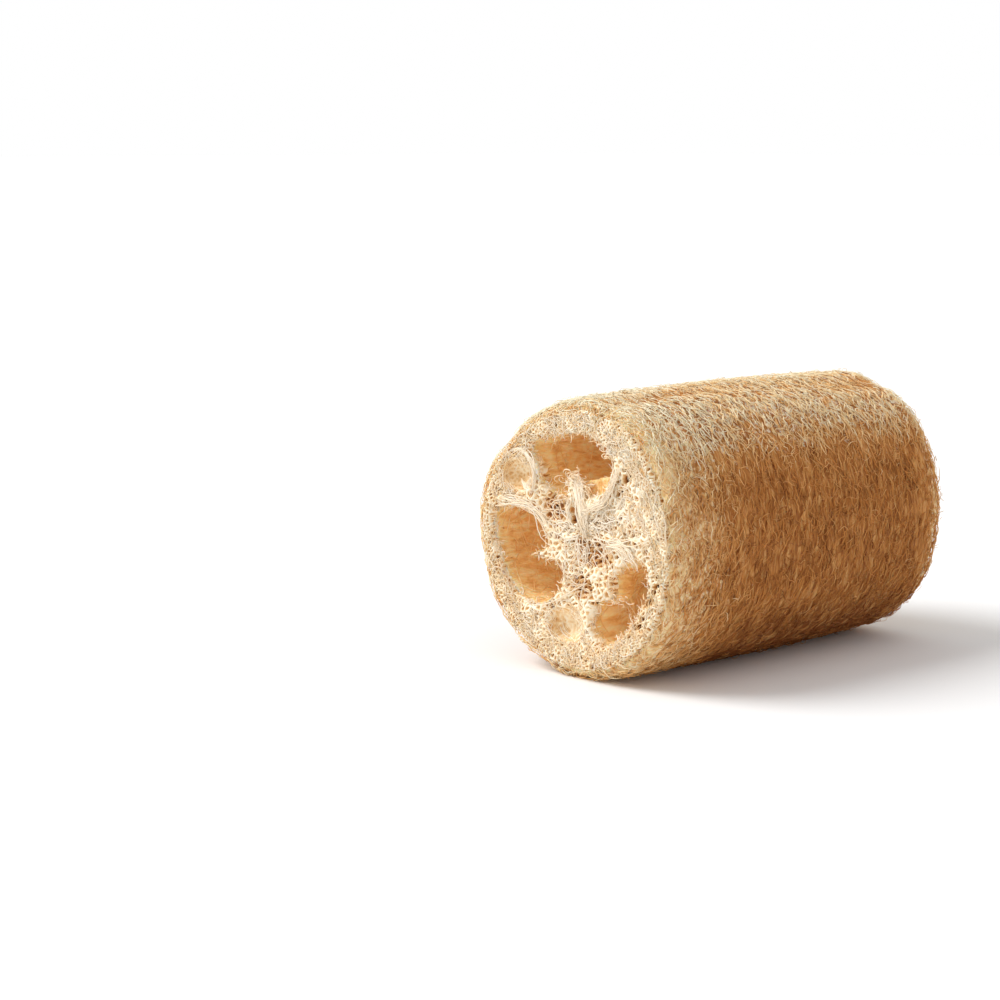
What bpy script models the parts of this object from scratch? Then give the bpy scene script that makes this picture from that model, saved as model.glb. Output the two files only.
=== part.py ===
"""A short cut length of natural loofah sponge, lying on its side.

The sponge is the dried fibre skeleton of a gourd, so it is one piece: a rounded body with a raised
net of fibres all over it, three seed chambers that run from one cut end to the other, and a spongy
web between them. The long axis is Y, the shown cut end faces -Y, and the sponge rests on Z = 0.
"""

import math
import random

import bmesh
import bpy
from mathutils import Matrix, Vector, geometry

# Driving dimensions, in metres.
LENGTH = 0.120
RADIUS = 0.040
WAIST_SWELL = 0.0009
NEAR_RIM_ROUND = 0.0036
FAR_RIM_ROUND = 0.0085
REST_FLAT_DEPTH = 0.0012
FACE_DISH = 0.0022

# The cross-section is nearly round: waves per turn, with the cosine and sine share of the radius.
SECTION_LOBES = ((2, 0.003, 0.009), (3, -0.0205, -0.002), (4, -0.002, -0.0085))
# Shallow lengthwise furrows: angle in degrees, depth, and half width in degrees.
FURROWS = (
    (72, 0.0013, 7), (-11, 0.0008, 8), (-68, 0.0006, 8),
    (140, 0.0012, 8), (196, 0.0010, 9), (248, 0.0008, 8),
)

# The raised net: fibres run round the body and cross at a low angle, so its cells are lens shaped.
NET_COLUMNS = 22
NET_ROW_STEP = 0.0024
NET_DEPTH = 0.0014
NET_JITTER = 0.20
NEAR_FACE_CELL = 0.0046
FAR_FACE_CELL = 0.0056
FACE_NET_DEPTH = 0.0015
FACE_EDGE_GAP = 0.0030
DEPTH_SPREAD = (0.75, 1.2)
SEED = 41

# The chambers as seen at the shown cut end: x to the right and z up from the body's axis, in metres.
LEFT_MOUTH = (
    (-0.0346, 0.0034), (-0.0308, 0.0065), (-0.0235, 0.0072), (-0.0185, 0.0062), (-0.0146, 0.0032),
    (-0.0130, -0.0010), (-0.0136, -0.0044), (-0.0186, -0.0050), (-0.0188, -0.0072),
    (-0.0122, -0.0072), (-0.0072, -0.0070), (-0.0058, -0.0105), (-0.0073, -0.0155),
    (-0.0103, -0.0190), (-0.0164, -0.0206), (-0.0234, -0.0188), (-0.0295, -0.0132),
    (-0.0334, -0.0050),
)
LEFT_BORE = (
    (-0.0340, 0.0028), (-0.0300, 0.0062), (-0.0235, 0.0076), (-0.0178, 0.0068), (-0.0134, 0.0040),
    (-0.0114, 0.0010), (-0.0104, -0.0018), (-0.0098, -0.0040), (-0.0092, -0.0062),
    (-0.0086, -0.0082), (-0.0080, -0.0100), (-0.0076, -0.0128), (-0.0084, -0.0162),
    (-0.0113, -0.0194), (-0.0170, -0.0208), (-0.0238, -0.0188), (-0.0295, -0.0130),
    (-0.0332, -0.0050),
)
TOP_MOUTH = (
    (-0.0204, 0.0244), (-0.0173, 0.0268), (-0.0105, 0.0288), (-0.0030, 0.0300), (0.0030, 0.0302),
    (0.0094, 0.0283), (0.0155, 0.0246), (0.0125, 0.0222), (0.0060, 0.0206), (-0.0010, 0.0196),
    (-0.0048, 0.0176), (-0.0050, 0.0130), (-0.0080, 0.0104), (-0.0127, 0.0125),
    (-0.0160, 0.0165), (-0.0180, 0.0212),
)
TOP_BORE = (
    (-0.0190, 0.0242), (-0.0160, 0.0264), (-0.0102, 0.0286), (-0.0030, 0.0298), (0.0034, 0.0300),
    (0.0096, 0.0282), (0.0142, 0.0245), (0.0136, 0.0200), (0.0108, 0.0158), (0.0066, 0.0128),
    (0.0018, 0.0112), (-0.0032, 0.0104), (-0.0080, 0.0106), (-0.0122, 0.0128),
    (-0.0156, 0.0168), (-0.0180, 0.0208),
)
RIGHT_MOUTH = (
    (0.0061, -0.0135), (0.0110, -0.0105), (0.0168, -0.0052), (0.0197, -0.0028), (0.0232, -0.0020),
    (0.0267, -0.0026), (0.0288, -0.0050), (0.0282, -0.0094), (0.0266, -0.0140), (0.0241, -0.0186),
    (0.0205, -0.0228), (0.0172, -0.0262), (0.0136, -0.0286), (0.0102, -0.0288), (0.0070, -0.0270),
    (0.0052, -0.0236), (0.0058, -0.0186),
)
RIGHT_BORE = (
    (0.0080, -0.0140), (0.0116, -0.0106), (0.0162, -0.0062), (0.0196, -0.0040), (0.0232, -0.0034),
    (0.0262, -0.0044), (0.0278, -0.0070), (0.0276, -0.0106), (0.0262, -0.0146), (0.0238, -0.0188),
    (0.0204, -0.0226), (0.0170, -0.0256), (0.0136, -0.0274), (0.0104, -0.0274), (0.0078, -0.0254),
    (0.0066, -0.0222), (0.0068, -0.0180),
)
CHAMBERS = (
    ("left_chamber", LEFT_MOUTH, LEFT_BORE, 0.4),
    ("top_chamber", TOP_MOUTH, TOP_BORE, 2.3),
    ("right_chamber", RIGHT_MOUTH, RIGHT_BORE, 4.1),
)
# A cut-back shelf beside the top chamber, where an inner membrane shows.
TOP_SHELF = (
    (0.0146, 0.0238), (0.0128, 0.0174), (0.0102, 0.0140), (0.0044, 0.0119), (-0.0006, 0.0119),
    (-0.0056, 0.0150), (-0.0040, 0.0200), (0.0040, 0.0225), (0.0100, 0.0240),
)
SHELF_DEPTH = 0.0060
# How far in from the shown end a mouth's outline has settled to its bore's.
MOUTH_DEPTH = 0.016
CHAMBER_TWIST = math.radians(-7)
CHAMBER_SWELL = 0.04
CHAMBER_SWELL_LENGTH = 0.085
STRIATION = 0.0007
CHAMBER_STATIONS = (-0.064, -0.0575, -0.052, -0.044, -0.026, 0.000, 0.026, 0.050, 0.064)
SAMPLES_PER_POINT = 2

# Blind pockets in the cut ends: centre (x, z) from the axis, half width, half height and depth.
NEAR_POCKETS = (
    ((-0.0238, 0.0163), 0.0070, 0.0056, 0.0050),
    ((-0.0040, -0.0248), 0.0078, 0.0054, 0.0052),
    ((0.0118, 0.0046), 0.0044, 0.0022, 0.0034),
    ((0.0035, -0.0040), 0.0042, 0.0026, 0.0030),
)
FAR_POCKETS = (
    ((-0.0215, 0.0195), 0.0058, 0.0046, 0.0045),
    ((-0.0080, -0.0250), 0.0066, 0.0046, 0.0050),
    ((0.0235, 0.0075), 0.0056, 0.0046, 0.0040),
)

# Fibre bundles that stand out of the web at the shown end: radius, then points as x, depth into
# the body and z.
BUNDLES = (
    (0.0014, ((-0.0352, 0.0016, 0.0085), (-0.0262, 0.0006, 0.0084), (-0.0165, 0.0004, 0.0070),
              (-0.0110, 0.0014, 0.0012), (-0.0092, 0.0040, -0.0052))),
    (0.0016, ((-0.0030, 0.0030, 0.0170), (-0.0012, 0.0010, 0.0112), (0.0004, 0.0000, 0.0060),
              (0.0026, 0.0012, 0.0010), (0.0050, 0.0028, -0.0060))),
    (0.0014, ((0.0004, 0.0006, 0.0064), (0.0060, 0.0000, 0.0098), (0.0118, 0.0004, 0.0128),
              (0.0152, 0.0006, 0.0190), (0.0178, 0.0022, 0.0262))),
    (0.0012, ((-0.0195, 0.0014, 0.0225), (-0.0160, 0.0006, 0.0190), (-0.0158, 0.0006, 0.0140),
              (-0.0182, 0.0012, 0.0098))),
    (0.0013, ((-0.0202, 0.0016, -0.0225), (-0.0120, 0.0006, -0.0205), (-0.0058, 0.0008, -0.0164),
              (0.0010, 0.0016, -0.0118), (0.0080, 0.0020, -0.0086))),
    (0.0011, ((0.0020, 0.0018, 0.0020), (-0.0045, 0.0016, 0.0006), (-0.0100, 0.0022, 0.0030))),
    (0.0011, ((0.0026, 0.0016, -0.0160), (0.0046, 0.0026, -0.0205), (0.0050, 0.0026, -0.0262),
              (0.0030, 0.0020, -0.0312))),
    (0.0012, ((0.0022, 0.0008, 0.0022), (0.0092, 0.0006, 0.0012), (0.0172, 0.0008, 0.0010),
              (0.0252, 0.0010, 0.0032), (0.0330, 0.0022, 0.0058))),
)
BUNDLE_STEPS = 2
BUNDLE_RING = 1
# Puffy lobes of web in the mouths: centre as x, depth and z, then half sizes.
LOBES = (
    ((0.0096, 0.0078, -0.0128), (0.0050, 0.0062, 0.0046)),
    ((0.0016, 0.0022, 0.0040), (0.0034, 0.0028, 0.0032)),
)

FIBRE_TAN = (0.42, 0.235, 0.105, 1.0)
FIBRE_ROUGHNESS = 0.85


def remove_scene_objects():
    for obj in list(bpy.data.objects):
        bpy.data.objects.remove(obj)


def new_collection(name):
    made = bpy.data.collections.new(name)
    bpy.context.scene.collection.children.link(made)
    return made


def new_object(name, bm, collection):
    mesh = bpy.data.meshes.new(name)
    bm.to_mesh(mesh)
    bm.free()
    obj = bpy.data.objects.new(name, mesh)
    collection.objects.link(obj)
    return obj


def loofah_material():
    material = bpy.data.materials.new("loofah_fibre")
    material.use_nodes = True
    shader = material.node_tree.nodes["Principled BSDF"]
    shader.inputs["Base Color"].default_value = FIBRE_TAN
    shader.inputs["Roughness"].default_value = FIBRE_ROUGHNESS
    shader.inputs["Metallic"].default_value = 0.0
    return material


def smoothstep(share):
    share = min(1.0, max(0.0, share))
    return share * share * (3 - 2 * share)


def spline_point(points, segment, share, closed):
    """A point on the Catmull-Rom curve through the points, within the segment that starts at one."""
    count = len(points)
    near = [segment - 1, segment, segment + 1, segment + 2]
    near = [i % count if closed else min(max(i, 0), count - 1) for i in near]
    before, start, end, after = (Vector(points[i]) for i in near)
    square, cube = share * share, share * share * share
    return 0.5 * (
        2 * start + (end - before) * share
        + (2 * before - 5 * start + 4 * end - after) * square
        + (3 * start - before - 3 * end + after) * cube
    )


def section_factor(angle):
    """The cross-section's radius at this angle, as a share of its mean radius."""
    return 1 + sum(c * math.cos(n * angle) + s * math.sin(n * angle) for n, c, s in SECTION_LOBES)


def furrow_depth(angle, y):
    """How deep the lengthwise furrows are here. They wander and fade a little along the body."""
    depth = 0.0
    for degrees, deepest, half_width in FURROWS:
        centre = math.radians(degrees + 4 * math.sin(y * 45 + degrees))
        away = math.remainder(angle - centre, math.tau) / math.radians(half_width)
        depth += deepest * math.exp(-away * away) * (0.75 + 0.25 * math.cos(y * 60 + degrees))
    return depth


def side_length():
    """Length of the side's profile, from the shown cut face's edge to the far one's."""
    arcs = math.pi / 2 * (NEAR_RIM_ROUND + FAR_RIM_ROUND)
    return arcs + LENGTH - NEAR_RIM_ROUND - FAR_RIM_ROUND


def side_profile(run):
    """(y, radius) of the side at this length along its profile, with both rims rounded over."""
    half = LENGTH / 2
    near_arc = math.pi / 2 * NEAR_RIM_ROUND
    straight = LENGTH - NEAR_RIM_ROUND - FAR_RIM_ROUND
    if run < near_arc:
        turn = run / NEAR_RIM_ROUND
        y = -half + NEAR_RIM_ROUND * (1 - math.cos(turn))
        return y, RADIUS - NEAR_RIM_ROUND * (1 - math.sin(turn))
    if run < near_arc + straight:
        share = (run - near_arc) / straight
        return -half + NEAR_RIM_ROUND + straight * share, RADIUS + WAIST_SWELL * math.sin(math.pi * share)
    turn = (run - near_arc - straight) / FAR_RIM_ROUND
    y = half - FAR_RIM_ROUND * (1 - math.sin(turn))
    return y, RADIUS - FAR_RIM_ROUND * (1 - math.cos(turn))


def skin_point(angle, run):
    """A point of the side, from its angle round the axis and its length along the profile."""
    y, radius = side_profile(run)
    radius = radius * section_factor(angle) - furrow_depth(angle, y)
    return Vector((radius * math.cos(angle), y, radius * math.sin(angle)))


def face_point(flat, end):
    """A point of a cut face, dished in the middle. The end is -1 for the shown one, 1 for the far."""
    away = min(1.0, flat.length / (RADIUS - NEAR_RIM_ROUND))
    return Vector((flat.x, end * (LENGTH / 2 - FACE_DISH * (1 - away * away)), flat.y))


def add_side_net(bm, rng):
    """Rows of lens-shaped cells down the side. Returns the rings of vertices at its two ends."""
    row_count = round(side_length() / NET_ROW_STEP)
    step = side_length() / row_count
    column_turn = math.tau / NET_COLUMNS
    rows = []
    for row in range(row_count + 1):
        jitter = 0 if row in (0, row_count) else NET_JITTER
        ring = []
        for column in range(NET_COLUMNS):
            angle = (column + 0.5 * (row % 2) + rng.uniform(-jitter, jitter)) * column_turn
            ring.append(bm.verts.new(skin_point(angle, (row + rng.uniform(-jitter, jitter)) * step)))
        rows.append(ring)
    for row, ring in enumerate(rows):
        for column in range(NET_COLUMNS):
            after = (column + 1) % NET_COLUMNS
            between = after if row % 2 else column
            corners = [ring[column], ring[after]]
            if row > 0:
                corners.insert(1, rows[row - 1][between])
            if row < row_count:
                corners.append(rows[row + 1][between])
            bm.faces.new(corners)
    return rows[0], rows[-1]


def add_cut_face(bm, rim, end, cell, rng):
    """A cut face of small uneven triangles that joins the ring at that end of the side."""
    flats = [Vector((vert.co.x, vert.co.z)) for vert in rim]
    edges = [(i, (i + 1) % len(flats)) for i in range(len(flats))]
    reach = min((flats[a] + flats[b]).length / 2 for a, b in edges) - FACE_EDGE_GAP
    row_step = cell * math.sqrt(3) / 2
    row_limit = math.ceil(reach / row_step)
    for row in range(-row_limit, row_limit + 1):
        for column in range(-row_limit, row_limit + 1):
            spot = Vector(((column + 0.5 * (row % 2)) * cell, row * row_step))
            spot += Vector((rng.uniform(-1, 1), rng.uniform(-1, 1))) * (cell * NET_JITTER)
            if spot.length < reach:
                flats.append(spot)
    points, _, faces = geometry.delaunay_2d_cdt(flats, edges, [], 1, 1e-7)[:3]
    verts = list(rim) + [bm.verts.new(face_point(flat, end)) for flat in points[len(rim):]]
    for corners in faces:
        bm.faces.new([verts[i] for i in corners])


def press_rest_flat(bm):
    """Presses the underside flat where the sponge lies, and returns the height of that flat."""
    flat_z = min(vert.co.z for vert in bm.verts) + REST_FLAT_DEPTH
    for vert in bm.verts:
        vert.co.z = max(vert.co.z, flat_z)
    return flat_z


def sink_net_cells(bm, flat_z, rng):
    """Sinks the middle of each cell, so that the cells' edges stand out as the raised net."""
    cells = [face for face in bm.faces if max(vert.co.z for vert in face.verts) > flat_z + 1e-6]
    middles = bmesh.ops.poke(bm, faces=cells, offset=0, center_mode="MEAN")["verts"]
    bm.normal_update()
    for vert in middles:
        depth = FACE_NET_DEPTH if abs(vert.normal.y) > 0.9 else NET_DEPTH
        vert.co -= vert.normal * depth * rng.uniform(*DEPTH_SPREAD)
        vert.co.z = max(vert.co.z, flat_z)


def build_body(collection):
    rng = random.Random(SEED)
    bm = bmesh.new()
    near_rim, far_rim = add_side_net(bm, rng)
    add_cut_face(bm, near_rim, -1, NEAR_FACE_CELL, rng)
    add_cut_face(bm, far_rim, 1, FAR_FACE_CELL, rng)
    bmesh.ops.recalc_face_normals(bm, faces=bm.faces)
    sink_net_cells(bm, press_rest_flat(bm), rng)
    return new_object("loofah_sponge", bm, collection)


def closed_outline(points):
    """A smooth closed outline through the points, with every second sample drawn in as a ridge."""
    middle = sum((Vector(p) for p in points), Vector((0, 0))) / len(points)
    outline = []
    for i in range(len(points)):
        for sample in range(SAMPLES_PER_POINT):
            spot = spline_point(points, i, sample / SAMPLES_PER_POINT, True)
            if sample:
                spot -= (spot - middle).normalized() * STRIATION
            outline.append(spot)
    return outline


def chamber_ring(mouth, bore, y, phase):
    """The chamber's outline at this y: the mouth's at the shown end, then the bore's, twisting."""
    depth = y + LENGTH / 2
    settled = smoothstep(depth / MOUTH_DEPTH)
    middle = sum(bore, Vector((0, 0))) / len(bore)
    swell = 1 + settled * CHAMBER_SWELL * math.sin(depth / CHAMBER_SWELL_LENGTH * math.tau + phase)
    twist = Matrix.Rotation(CHAMBER_TWIST * max(0.0, depth) / LENGTH, 2)
    ring = []
    for at_mouth, in_bore in zip(mouth, bore):
        spot = at_mouth.lerp(middle + (in_bore - middle) * swell, settled)
        spot = twist @ spot
        ring.append(Vector((spot.x, y, spot.y)))
    return ring


def loft(name, rings, collection):
    """A closed solid through rings of points, capped at both ends."""
    bm = bmesh.new()
    rows = [[bm.verts.new(point) for point in ring] for ring in rings]
    for before, after in zip(rows, rows[1:]):
        for i in range(len(before)):
            j = (i + 1) % len(before)
            bm.faces.new((before[i], before[j], after[j], after[i]))
    bm.faces.new(rows[0])
    bm.faces.new(rows[-1])
    bmesh.ops.recalc_face_normals(bm, faces=bm.faces)
    return new_object(name, bm, collection)


def add_chamber_cutters(collection):
    for name, mouth, bore, phase in CHAMBERS:
        mouth_outline, bore_outline = closed_outline(mouth), closed_outline(bore)
        rings = [chamber_ring(mouth_outline, bore_outline, y, phase) for y in CHAMBER_STATIONS]
        loft(name, rings, collection)
    shelf = closed_outline(TOP_SHELF)
    shelf_stations = (CHAMBER_STATIONS[0], SHELF_DEPTH - LENGTH / 2)
    loft("top_shelf", [[Vector((p.x, y, p.y)) for p in shelf] for y in shelf_stations], collection)


def add_ellipsoid(name, centre, half_sizes, collection):
    bm = bmesh.new()
    bmesh.ops.create_icosphere(bm, subdivisions=2, radius=1)
    bmesh.ops.scale(bm, vec=half_sizes, verts=bm.verts)
    bmesh.ops.translate(bm, vec=centre, verts=bm.verts)
    new_object(name, bm, collection)


def add_pocket_cutters(pockets, end, collection):
    for spot, half_width, half_height, depth in pockets:
        centre = face_point(Vector(spot), end)
        add_ellipsoid("pocket", centre, (half_width, depth, half_height), collection)


def add_lobes(collection):
    for (x, depth, z), half_sizes in LOBES:
        add_ellipsoid("lobe", (x, depth - LENGTH / 2, z), half_sizes, collection)


def as_mesh(obj, collection):
    """A copy of a curve object as a welded mesh. The curve is removed."""
    graph = bpy.context.evaluated_depsgraph_get()
    mesh = bpy.data.meshes.new_from_object(obj.evaluated_get(graph))
    bm = bmesh.new()
    bm.from_mesh(mesh)
    bmesh.ops.remove_doubles(bm, verts=bm.verts, dist=1e-6)
    bm.to_mesh(mesh)
    bm.free()
    solid = bpy.data.objects.new(obj.name + "_solid", mesh)
    solid.matrix_world = obj.matrix_world
    collection.objects.link(solid)
    bpy.data.objects.remove(obj)
    return solid


def add_bundles(collection):
    for number, (radius, route) in enumerate(BUNDLES):
        points = [Vector((x, depth - LENGTH / 2, z)) for x, depth, z in route]
        line = [
            spline_point(points, i, step / BUNDLE_STEPS, False)
            for i in range(len(points) - 1)
            for step in range(BUNDLE_STEPS)
        ]
        line.append(points[-1])
        curve = bpy.data.curves.new(f"bundle_{number}", "CURVE")
        curve.dimensions = "3D"
        curve.bevel_depth = radius
        curve.bevel_resolution = BUNDLE_RING
        curve.use_fill_caps = True
        spline = curve.splines.new("POLY")
        spline.points.add(len(line) - 1)
        for point, spot in zip(spline.points, line):
            point.co = (*spot, 1)
        obj = bpy.data.objects.new(f"bundle_{number}", curve)
        collection.objects.link(obj)
        as_mesh(obj, collection)


def join_with(body, operation, solver, collection):
    """Cuts away, or joins on, everything in the collection, and then removes what was in it."""
    modifier = body.modifiers.new(operation.lower(), "BOOLEAN")
    modifier.operation = operation
    modifier.operand_type = "COLLECTION"
    modifier.collection = collection
    modifier.solver = solver
    graph = bpy.context.evaluated_depsgraph_get()
    solid = bpy.data.meshes.new_from_object(body.evaluated_get(graph))
    body.modifiers.clear()
    body.data = solid
    for obj in list(collection.objects):
        bpy.data.objects.remove(obj)
    bpy.data.collections.remove(collection)


def connected_faces(start):
    """The faces that can be reached from this one across shared edges."""
    found, stack = {start}, [start]
    while stack:
        for edge in stack.pop().edges:
            for face in edge.link_faces:
                if face not in found:
                    found.add(face)
                    stack.append(face)
    return found


def keep_main_shell(body):
    """Drops loose scraps, and fills hollows that the joining sealed: only the largest shell stays."""
    bm = bmesh.new()
    bm.from_mesh(body.data)
    shells, left = [], set(bm.faces)
    while left:
        shells.append(connected_faces(next(iter(left))))
        left -= shells[-1]
    shells.sort(key=len)
    scraps = [face for shell in shells[:-1] for face in shell]
    bmesh.ops.delete(bm, geom=scraps, context="FACES")
    bm.to_mesh(body.data)
    bm.free()


def stand_on_origin(body):
    """Moves the mesh so that the middle of its box's underside is the origin."""
    corners = [vert.co for vert in body.data.vertices]
    low = [min(co[i] for co in corners) for i in range(3)]
    high = [max(co[i] for co in corners) for i in range(3)]
    body.data.transform(Matrix.Translation((-(low[0] + high[0]) / 2, -(low[1] + high[1]) / 2, -low[2])))


def main():
    remove_scene_objects()
    sponge = new_collection("loofah")
    cutters = new_collection("loofah_cutters")
    bundles = new_collection("loofah_bundles")
    body = build_body(sponge)
    add_chamber_cutters(cutters)
    add_pocket_cutters(NEAR_POCKETS, -1, cutters)
    add_pocket_cutters(FAR_POCKETS, 1, cutters)
    add_bundles(bundles)
    add_lobes(bundles)
    join_with(body, "DIFFERENCE", "EXACT", cutters)
    # The exact solver leaves edges with four faces here.
    join_with(body, "UNION", "MANIFOLD", bundles)
    keep_main_shell(body)
    stand_on_origin(body)
    body.data.materials.clear()
    body.data.materials.append(loofah_material())
    body.data.shade_flat()


main()
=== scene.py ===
"""Looks of a natural loofah sponge: the fibre mat, the web and chambers, their materials, light and camera.

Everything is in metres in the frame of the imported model. The sponge lies along Y on Z = 0. Its shown cut end
faces -Y and is end -1 here, and the far one is end 1. On a cut end, x and z are measured from the axis.
"""

import math
from types import SimpleNamespace

import bpy
import numpy as np
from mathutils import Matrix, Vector
from mathutils.bvhtree import BVHTree
from mathutils.kdtree import KDTree

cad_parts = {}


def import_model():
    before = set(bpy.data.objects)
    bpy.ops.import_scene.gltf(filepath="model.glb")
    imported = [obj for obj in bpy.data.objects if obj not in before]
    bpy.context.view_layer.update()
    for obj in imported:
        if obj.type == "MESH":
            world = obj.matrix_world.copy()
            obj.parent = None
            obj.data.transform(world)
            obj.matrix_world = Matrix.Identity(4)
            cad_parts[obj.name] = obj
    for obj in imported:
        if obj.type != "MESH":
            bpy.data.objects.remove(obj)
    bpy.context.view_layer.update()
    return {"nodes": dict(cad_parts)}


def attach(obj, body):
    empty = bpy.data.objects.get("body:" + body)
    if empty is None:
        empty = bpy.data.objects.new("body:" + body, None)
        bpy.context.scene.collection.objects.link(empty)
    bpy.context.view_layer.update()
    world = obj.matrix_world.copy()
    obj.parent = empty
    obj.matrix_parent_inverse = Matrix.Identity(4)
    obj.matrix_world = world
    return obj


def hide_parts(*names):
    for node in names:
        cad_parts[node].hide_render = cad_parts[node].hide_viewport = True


# The sponge's own sizes, as in its solid.
LENGTH = 0.120
HALF = LENGTH / 2
ENDS = (-1, 1)
RADIUS = 0.040
WAIST_SWELL = 0.0009
NEAR_RIM_ROUND = 0.0036
FAR_RIM_ROUND = 0.0085
FACE_RADIUS = RADIUS - NEAR_RIM_ROUND
FACE_DISH = 0.0022
AXIS = np.array((0.000947, 0.000777, 0.03941))
NEAR_ARC = math.pi / 2 * NEAR_RIM_ROUND
FAR_ARC = math.pi / 2 * FAR_RIM_ROUND
STRAIGHT = LENGTH - NEAR_RIM_ROUND - FAR_RIM_ROUND
SIDE_LENGTH = NEAR_ARC + STRAIGHT + FAR_ARC

# The section's uneven outline: waves round it, with their cosine and sine shares of the radius.
SECTION_LOBES = ((2, 0.003, 0.009), (3, -0.0205, -0.002), (4, -0.002, -0.0085))

# Lengthwise furrows: angle in degrees, depth, half width in degrees, then how they sway and change.
FURROWS = (
    (72, 0.0013, 7), (-11, 0.0008, 8), (-68, 0.0006, 8),
    (140, 0.0012, 8), (196, 0.0010, 9), (248, 0.0008, 8),
)
DEEPEST_FURROW = max(depth for _, depth, _ in FURROWS)
FURROW_SWAY = 4
FURROW_SWAY_WAVES = 45
FURROW_CHANGE = 0.25
FURROW_CHANGE_WAVES = 60

# Seeds of the random draws for the web and for the strands.
WEB_SEED = 21
STRAND_SEED = 7

# The camera, from the photograph's perspective, measured from the middle of the body's axis.
CAMERA_OFFSET = Vector((0.4641, -0.5121, 0.1114))
CAMERA_FORWARD = Vector((-0.7294, 0.6669, -0.1524))
CAMERA_LENS = 84.67
CAMERA_SENSOR = 36
CAMERA_NEAREST = 0.01

# The base mat: its voxels and smoothing, the swell of its far rim, and how deep it is pressed under the web.
MAT_VOXEL = 0.00104
MAT_SMOOTHING = 9
MAT_SWELL = 0.0008
MAT_PRESS = 0.0026
PRESSED_LENGTH = 0.0120
PRESSED_COVER = (0.72, 0.99)

# The core's white membrane, as x, depth into the body and z.
MEMBRANE = (
    (-0.0022, 0.0030, 0.0172), (0.0004, 0.0012, 0.0130), (0.0020, 0.0006, 0.0088), (0.0028, 0.0008, 0.0050),
    (0.0034, 0.0014, 0.0022),
)

# Fibre bundles of the core: radius, fibres, then points as x, depth into the body and z.
BUNDLES = (
    (0.0015, 24, ((-0.0338, 0.0020, 0.0085), (-0.0262, 0.0006, 0.0084), (-0.0165, 0.0004, 0.0070),
                  (-0.0110, 0.0014, 0.0012), (-0.0092, 0.0040, -0.0052))),
    (0.0016, 100, MEMBRANE),
    (0.0012, 26, ((0.0024, 0.0006, 0.0070), (0.0060, 0.0000, 0.0098), (0.0118, 0.0004, 0.0128),
                  (0.0152, 0.0006, 0.0190), (0.0178, 0.0022, 0.0262))),
    (0.0007, 12, ((-0.0268, 0.0012, 0.0224), (-0.0213, 0.0010, 0.0236), (-0.0168, 0.0006, 0.0202),
                  (-0.0166, 0.0006, 0.0146), (-0.0188, 0.0012, 0.0096))),
    (0.0014, 5, ((-0.0202, 0.0016, -0.0225), (-0.0120, 0.0006, -0.0205), (-0.0058, 0.0008, -0.0164),
                  (0.0010, 0.0016, -0.0118), (0.0080, 0.0020, -0.0086))),
    (0.0011, 18, ((0.0020, 0.0018, 0.0020), (-0.0045, 0.0016, 0.0006), (-0.0100, 0.0022, 0.0030))),
    (0.0011, 9, ((0.0026, 0.0016, -0.0160), (0.0046, 0.0026, -0.0205), (0.0050, 0.0026, -0.0262),
                  (0.0030, 0.0020, -0.0312))),
    (0.0014, 3, ((0.0022, 0.0008, 0.0022), (0.0092, 0.0006, 0.0012), (0.0172, 0.0008, 0.0010),
                 (0.0252, 0.0010, 0.0032), (0.0330, 0.0022, 0.0058))),
    (0.0008, 12, ((-0.0178, 0.0008, 0.0098), (-0.0205, 0.0018, 0.0122), (-0.0232, 0.0030, 0.0146))),
    (0.0007, 9, ((-0.0186, 0.0010, 0.0104), (-0.0196, 0.0020, 0.0130), (-0.0192, 0.0030, 0.0160))),
    (0.0014, 20, ((0.0108, 0.0008, -0.0040), (0.0132, 0.0004, -0.0010), (0.0169, 0.0002, 0.0004),
                  (0.0210, 0.0004, -0.0014), (0.0240, 0.0010, -0.0056))),
    (0.0006, 16, ((-0.0006, 0.0010, 0.0040), (-0.0030, 0.0006, 0.0062), (-0.0033, 0.0006, 0.0098),
                  (-0.0020, 0.0012, 0.0128))),
)

# The core's place, points along each curled or bundled fibre, and spots along a bundle for the mat and sheet.
CORE = (0.0016, 0.0040)
ROPE_POINTS = 12
MAT_SPOTS = 24
SHEET_SPOTS = 30

# Shallow pockets in the cut ends: middle x and z, half width and half height, then their soft edge as shares.
POCKETS = {
    -1: ((-0.0238, 0.0163, 0.0070, 0.0056), (-0.0040, -0.0248, 0.0078, 0.0054)),
    1: ((-0.0215, 0.0195, 0.0058, 0.0046), (-0.0080, -0.0250, 0.0066, 0.0046),
        (0.0235, 0.0075, 0.0056, 0.0046)),
}
POCKET_EDGE = (0.78, 1.12)

# Beds near the core where curled fibres lie over darker membrane: x, z, half width, half height, curls.
CURL_BEDS = (
    (0.0058, -0.0022, 0.0090, 0.0052, 34), (-0.0084, 0.0090, 0.0062, 0.0044, 26),
    (0.0098, 0.0060, 0.0046, 0.0020, 8), (0.0010, -0.0130, 0.0050, 0.0034, 22),
)
BED_EDGE = (0.6, 1.15)
BED_SPREAD = 0.6

# Curled fibres of the beds: ranges of ring radius, turn in radians, fibre radius and depth.
BED_CURLS = ((0.0008, 0.0024), (1.2, 3.4), (0.00012, 0.00026), (-0.0006, 0.0008))

# Curled fibres in two spots of the tongue: count, middle x and z, spread, then the same ranges.
TONGUE_CURLS = (
    (80, (-0.0026, 0.0166), (0.0014, 0.0011), (0.0004, 0.0015), (1.5, 4.5), (0.00010, 0.00026),
     (-0.0004, 0.0024)),
    (80, (0.0008, 0.0142), (0.0014, 0.0011), (0.0004, 0.0015), (1.5, 4.5), (0.00010, 0.00026),
     (-0.0004, 0.0024)),
)

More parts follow.
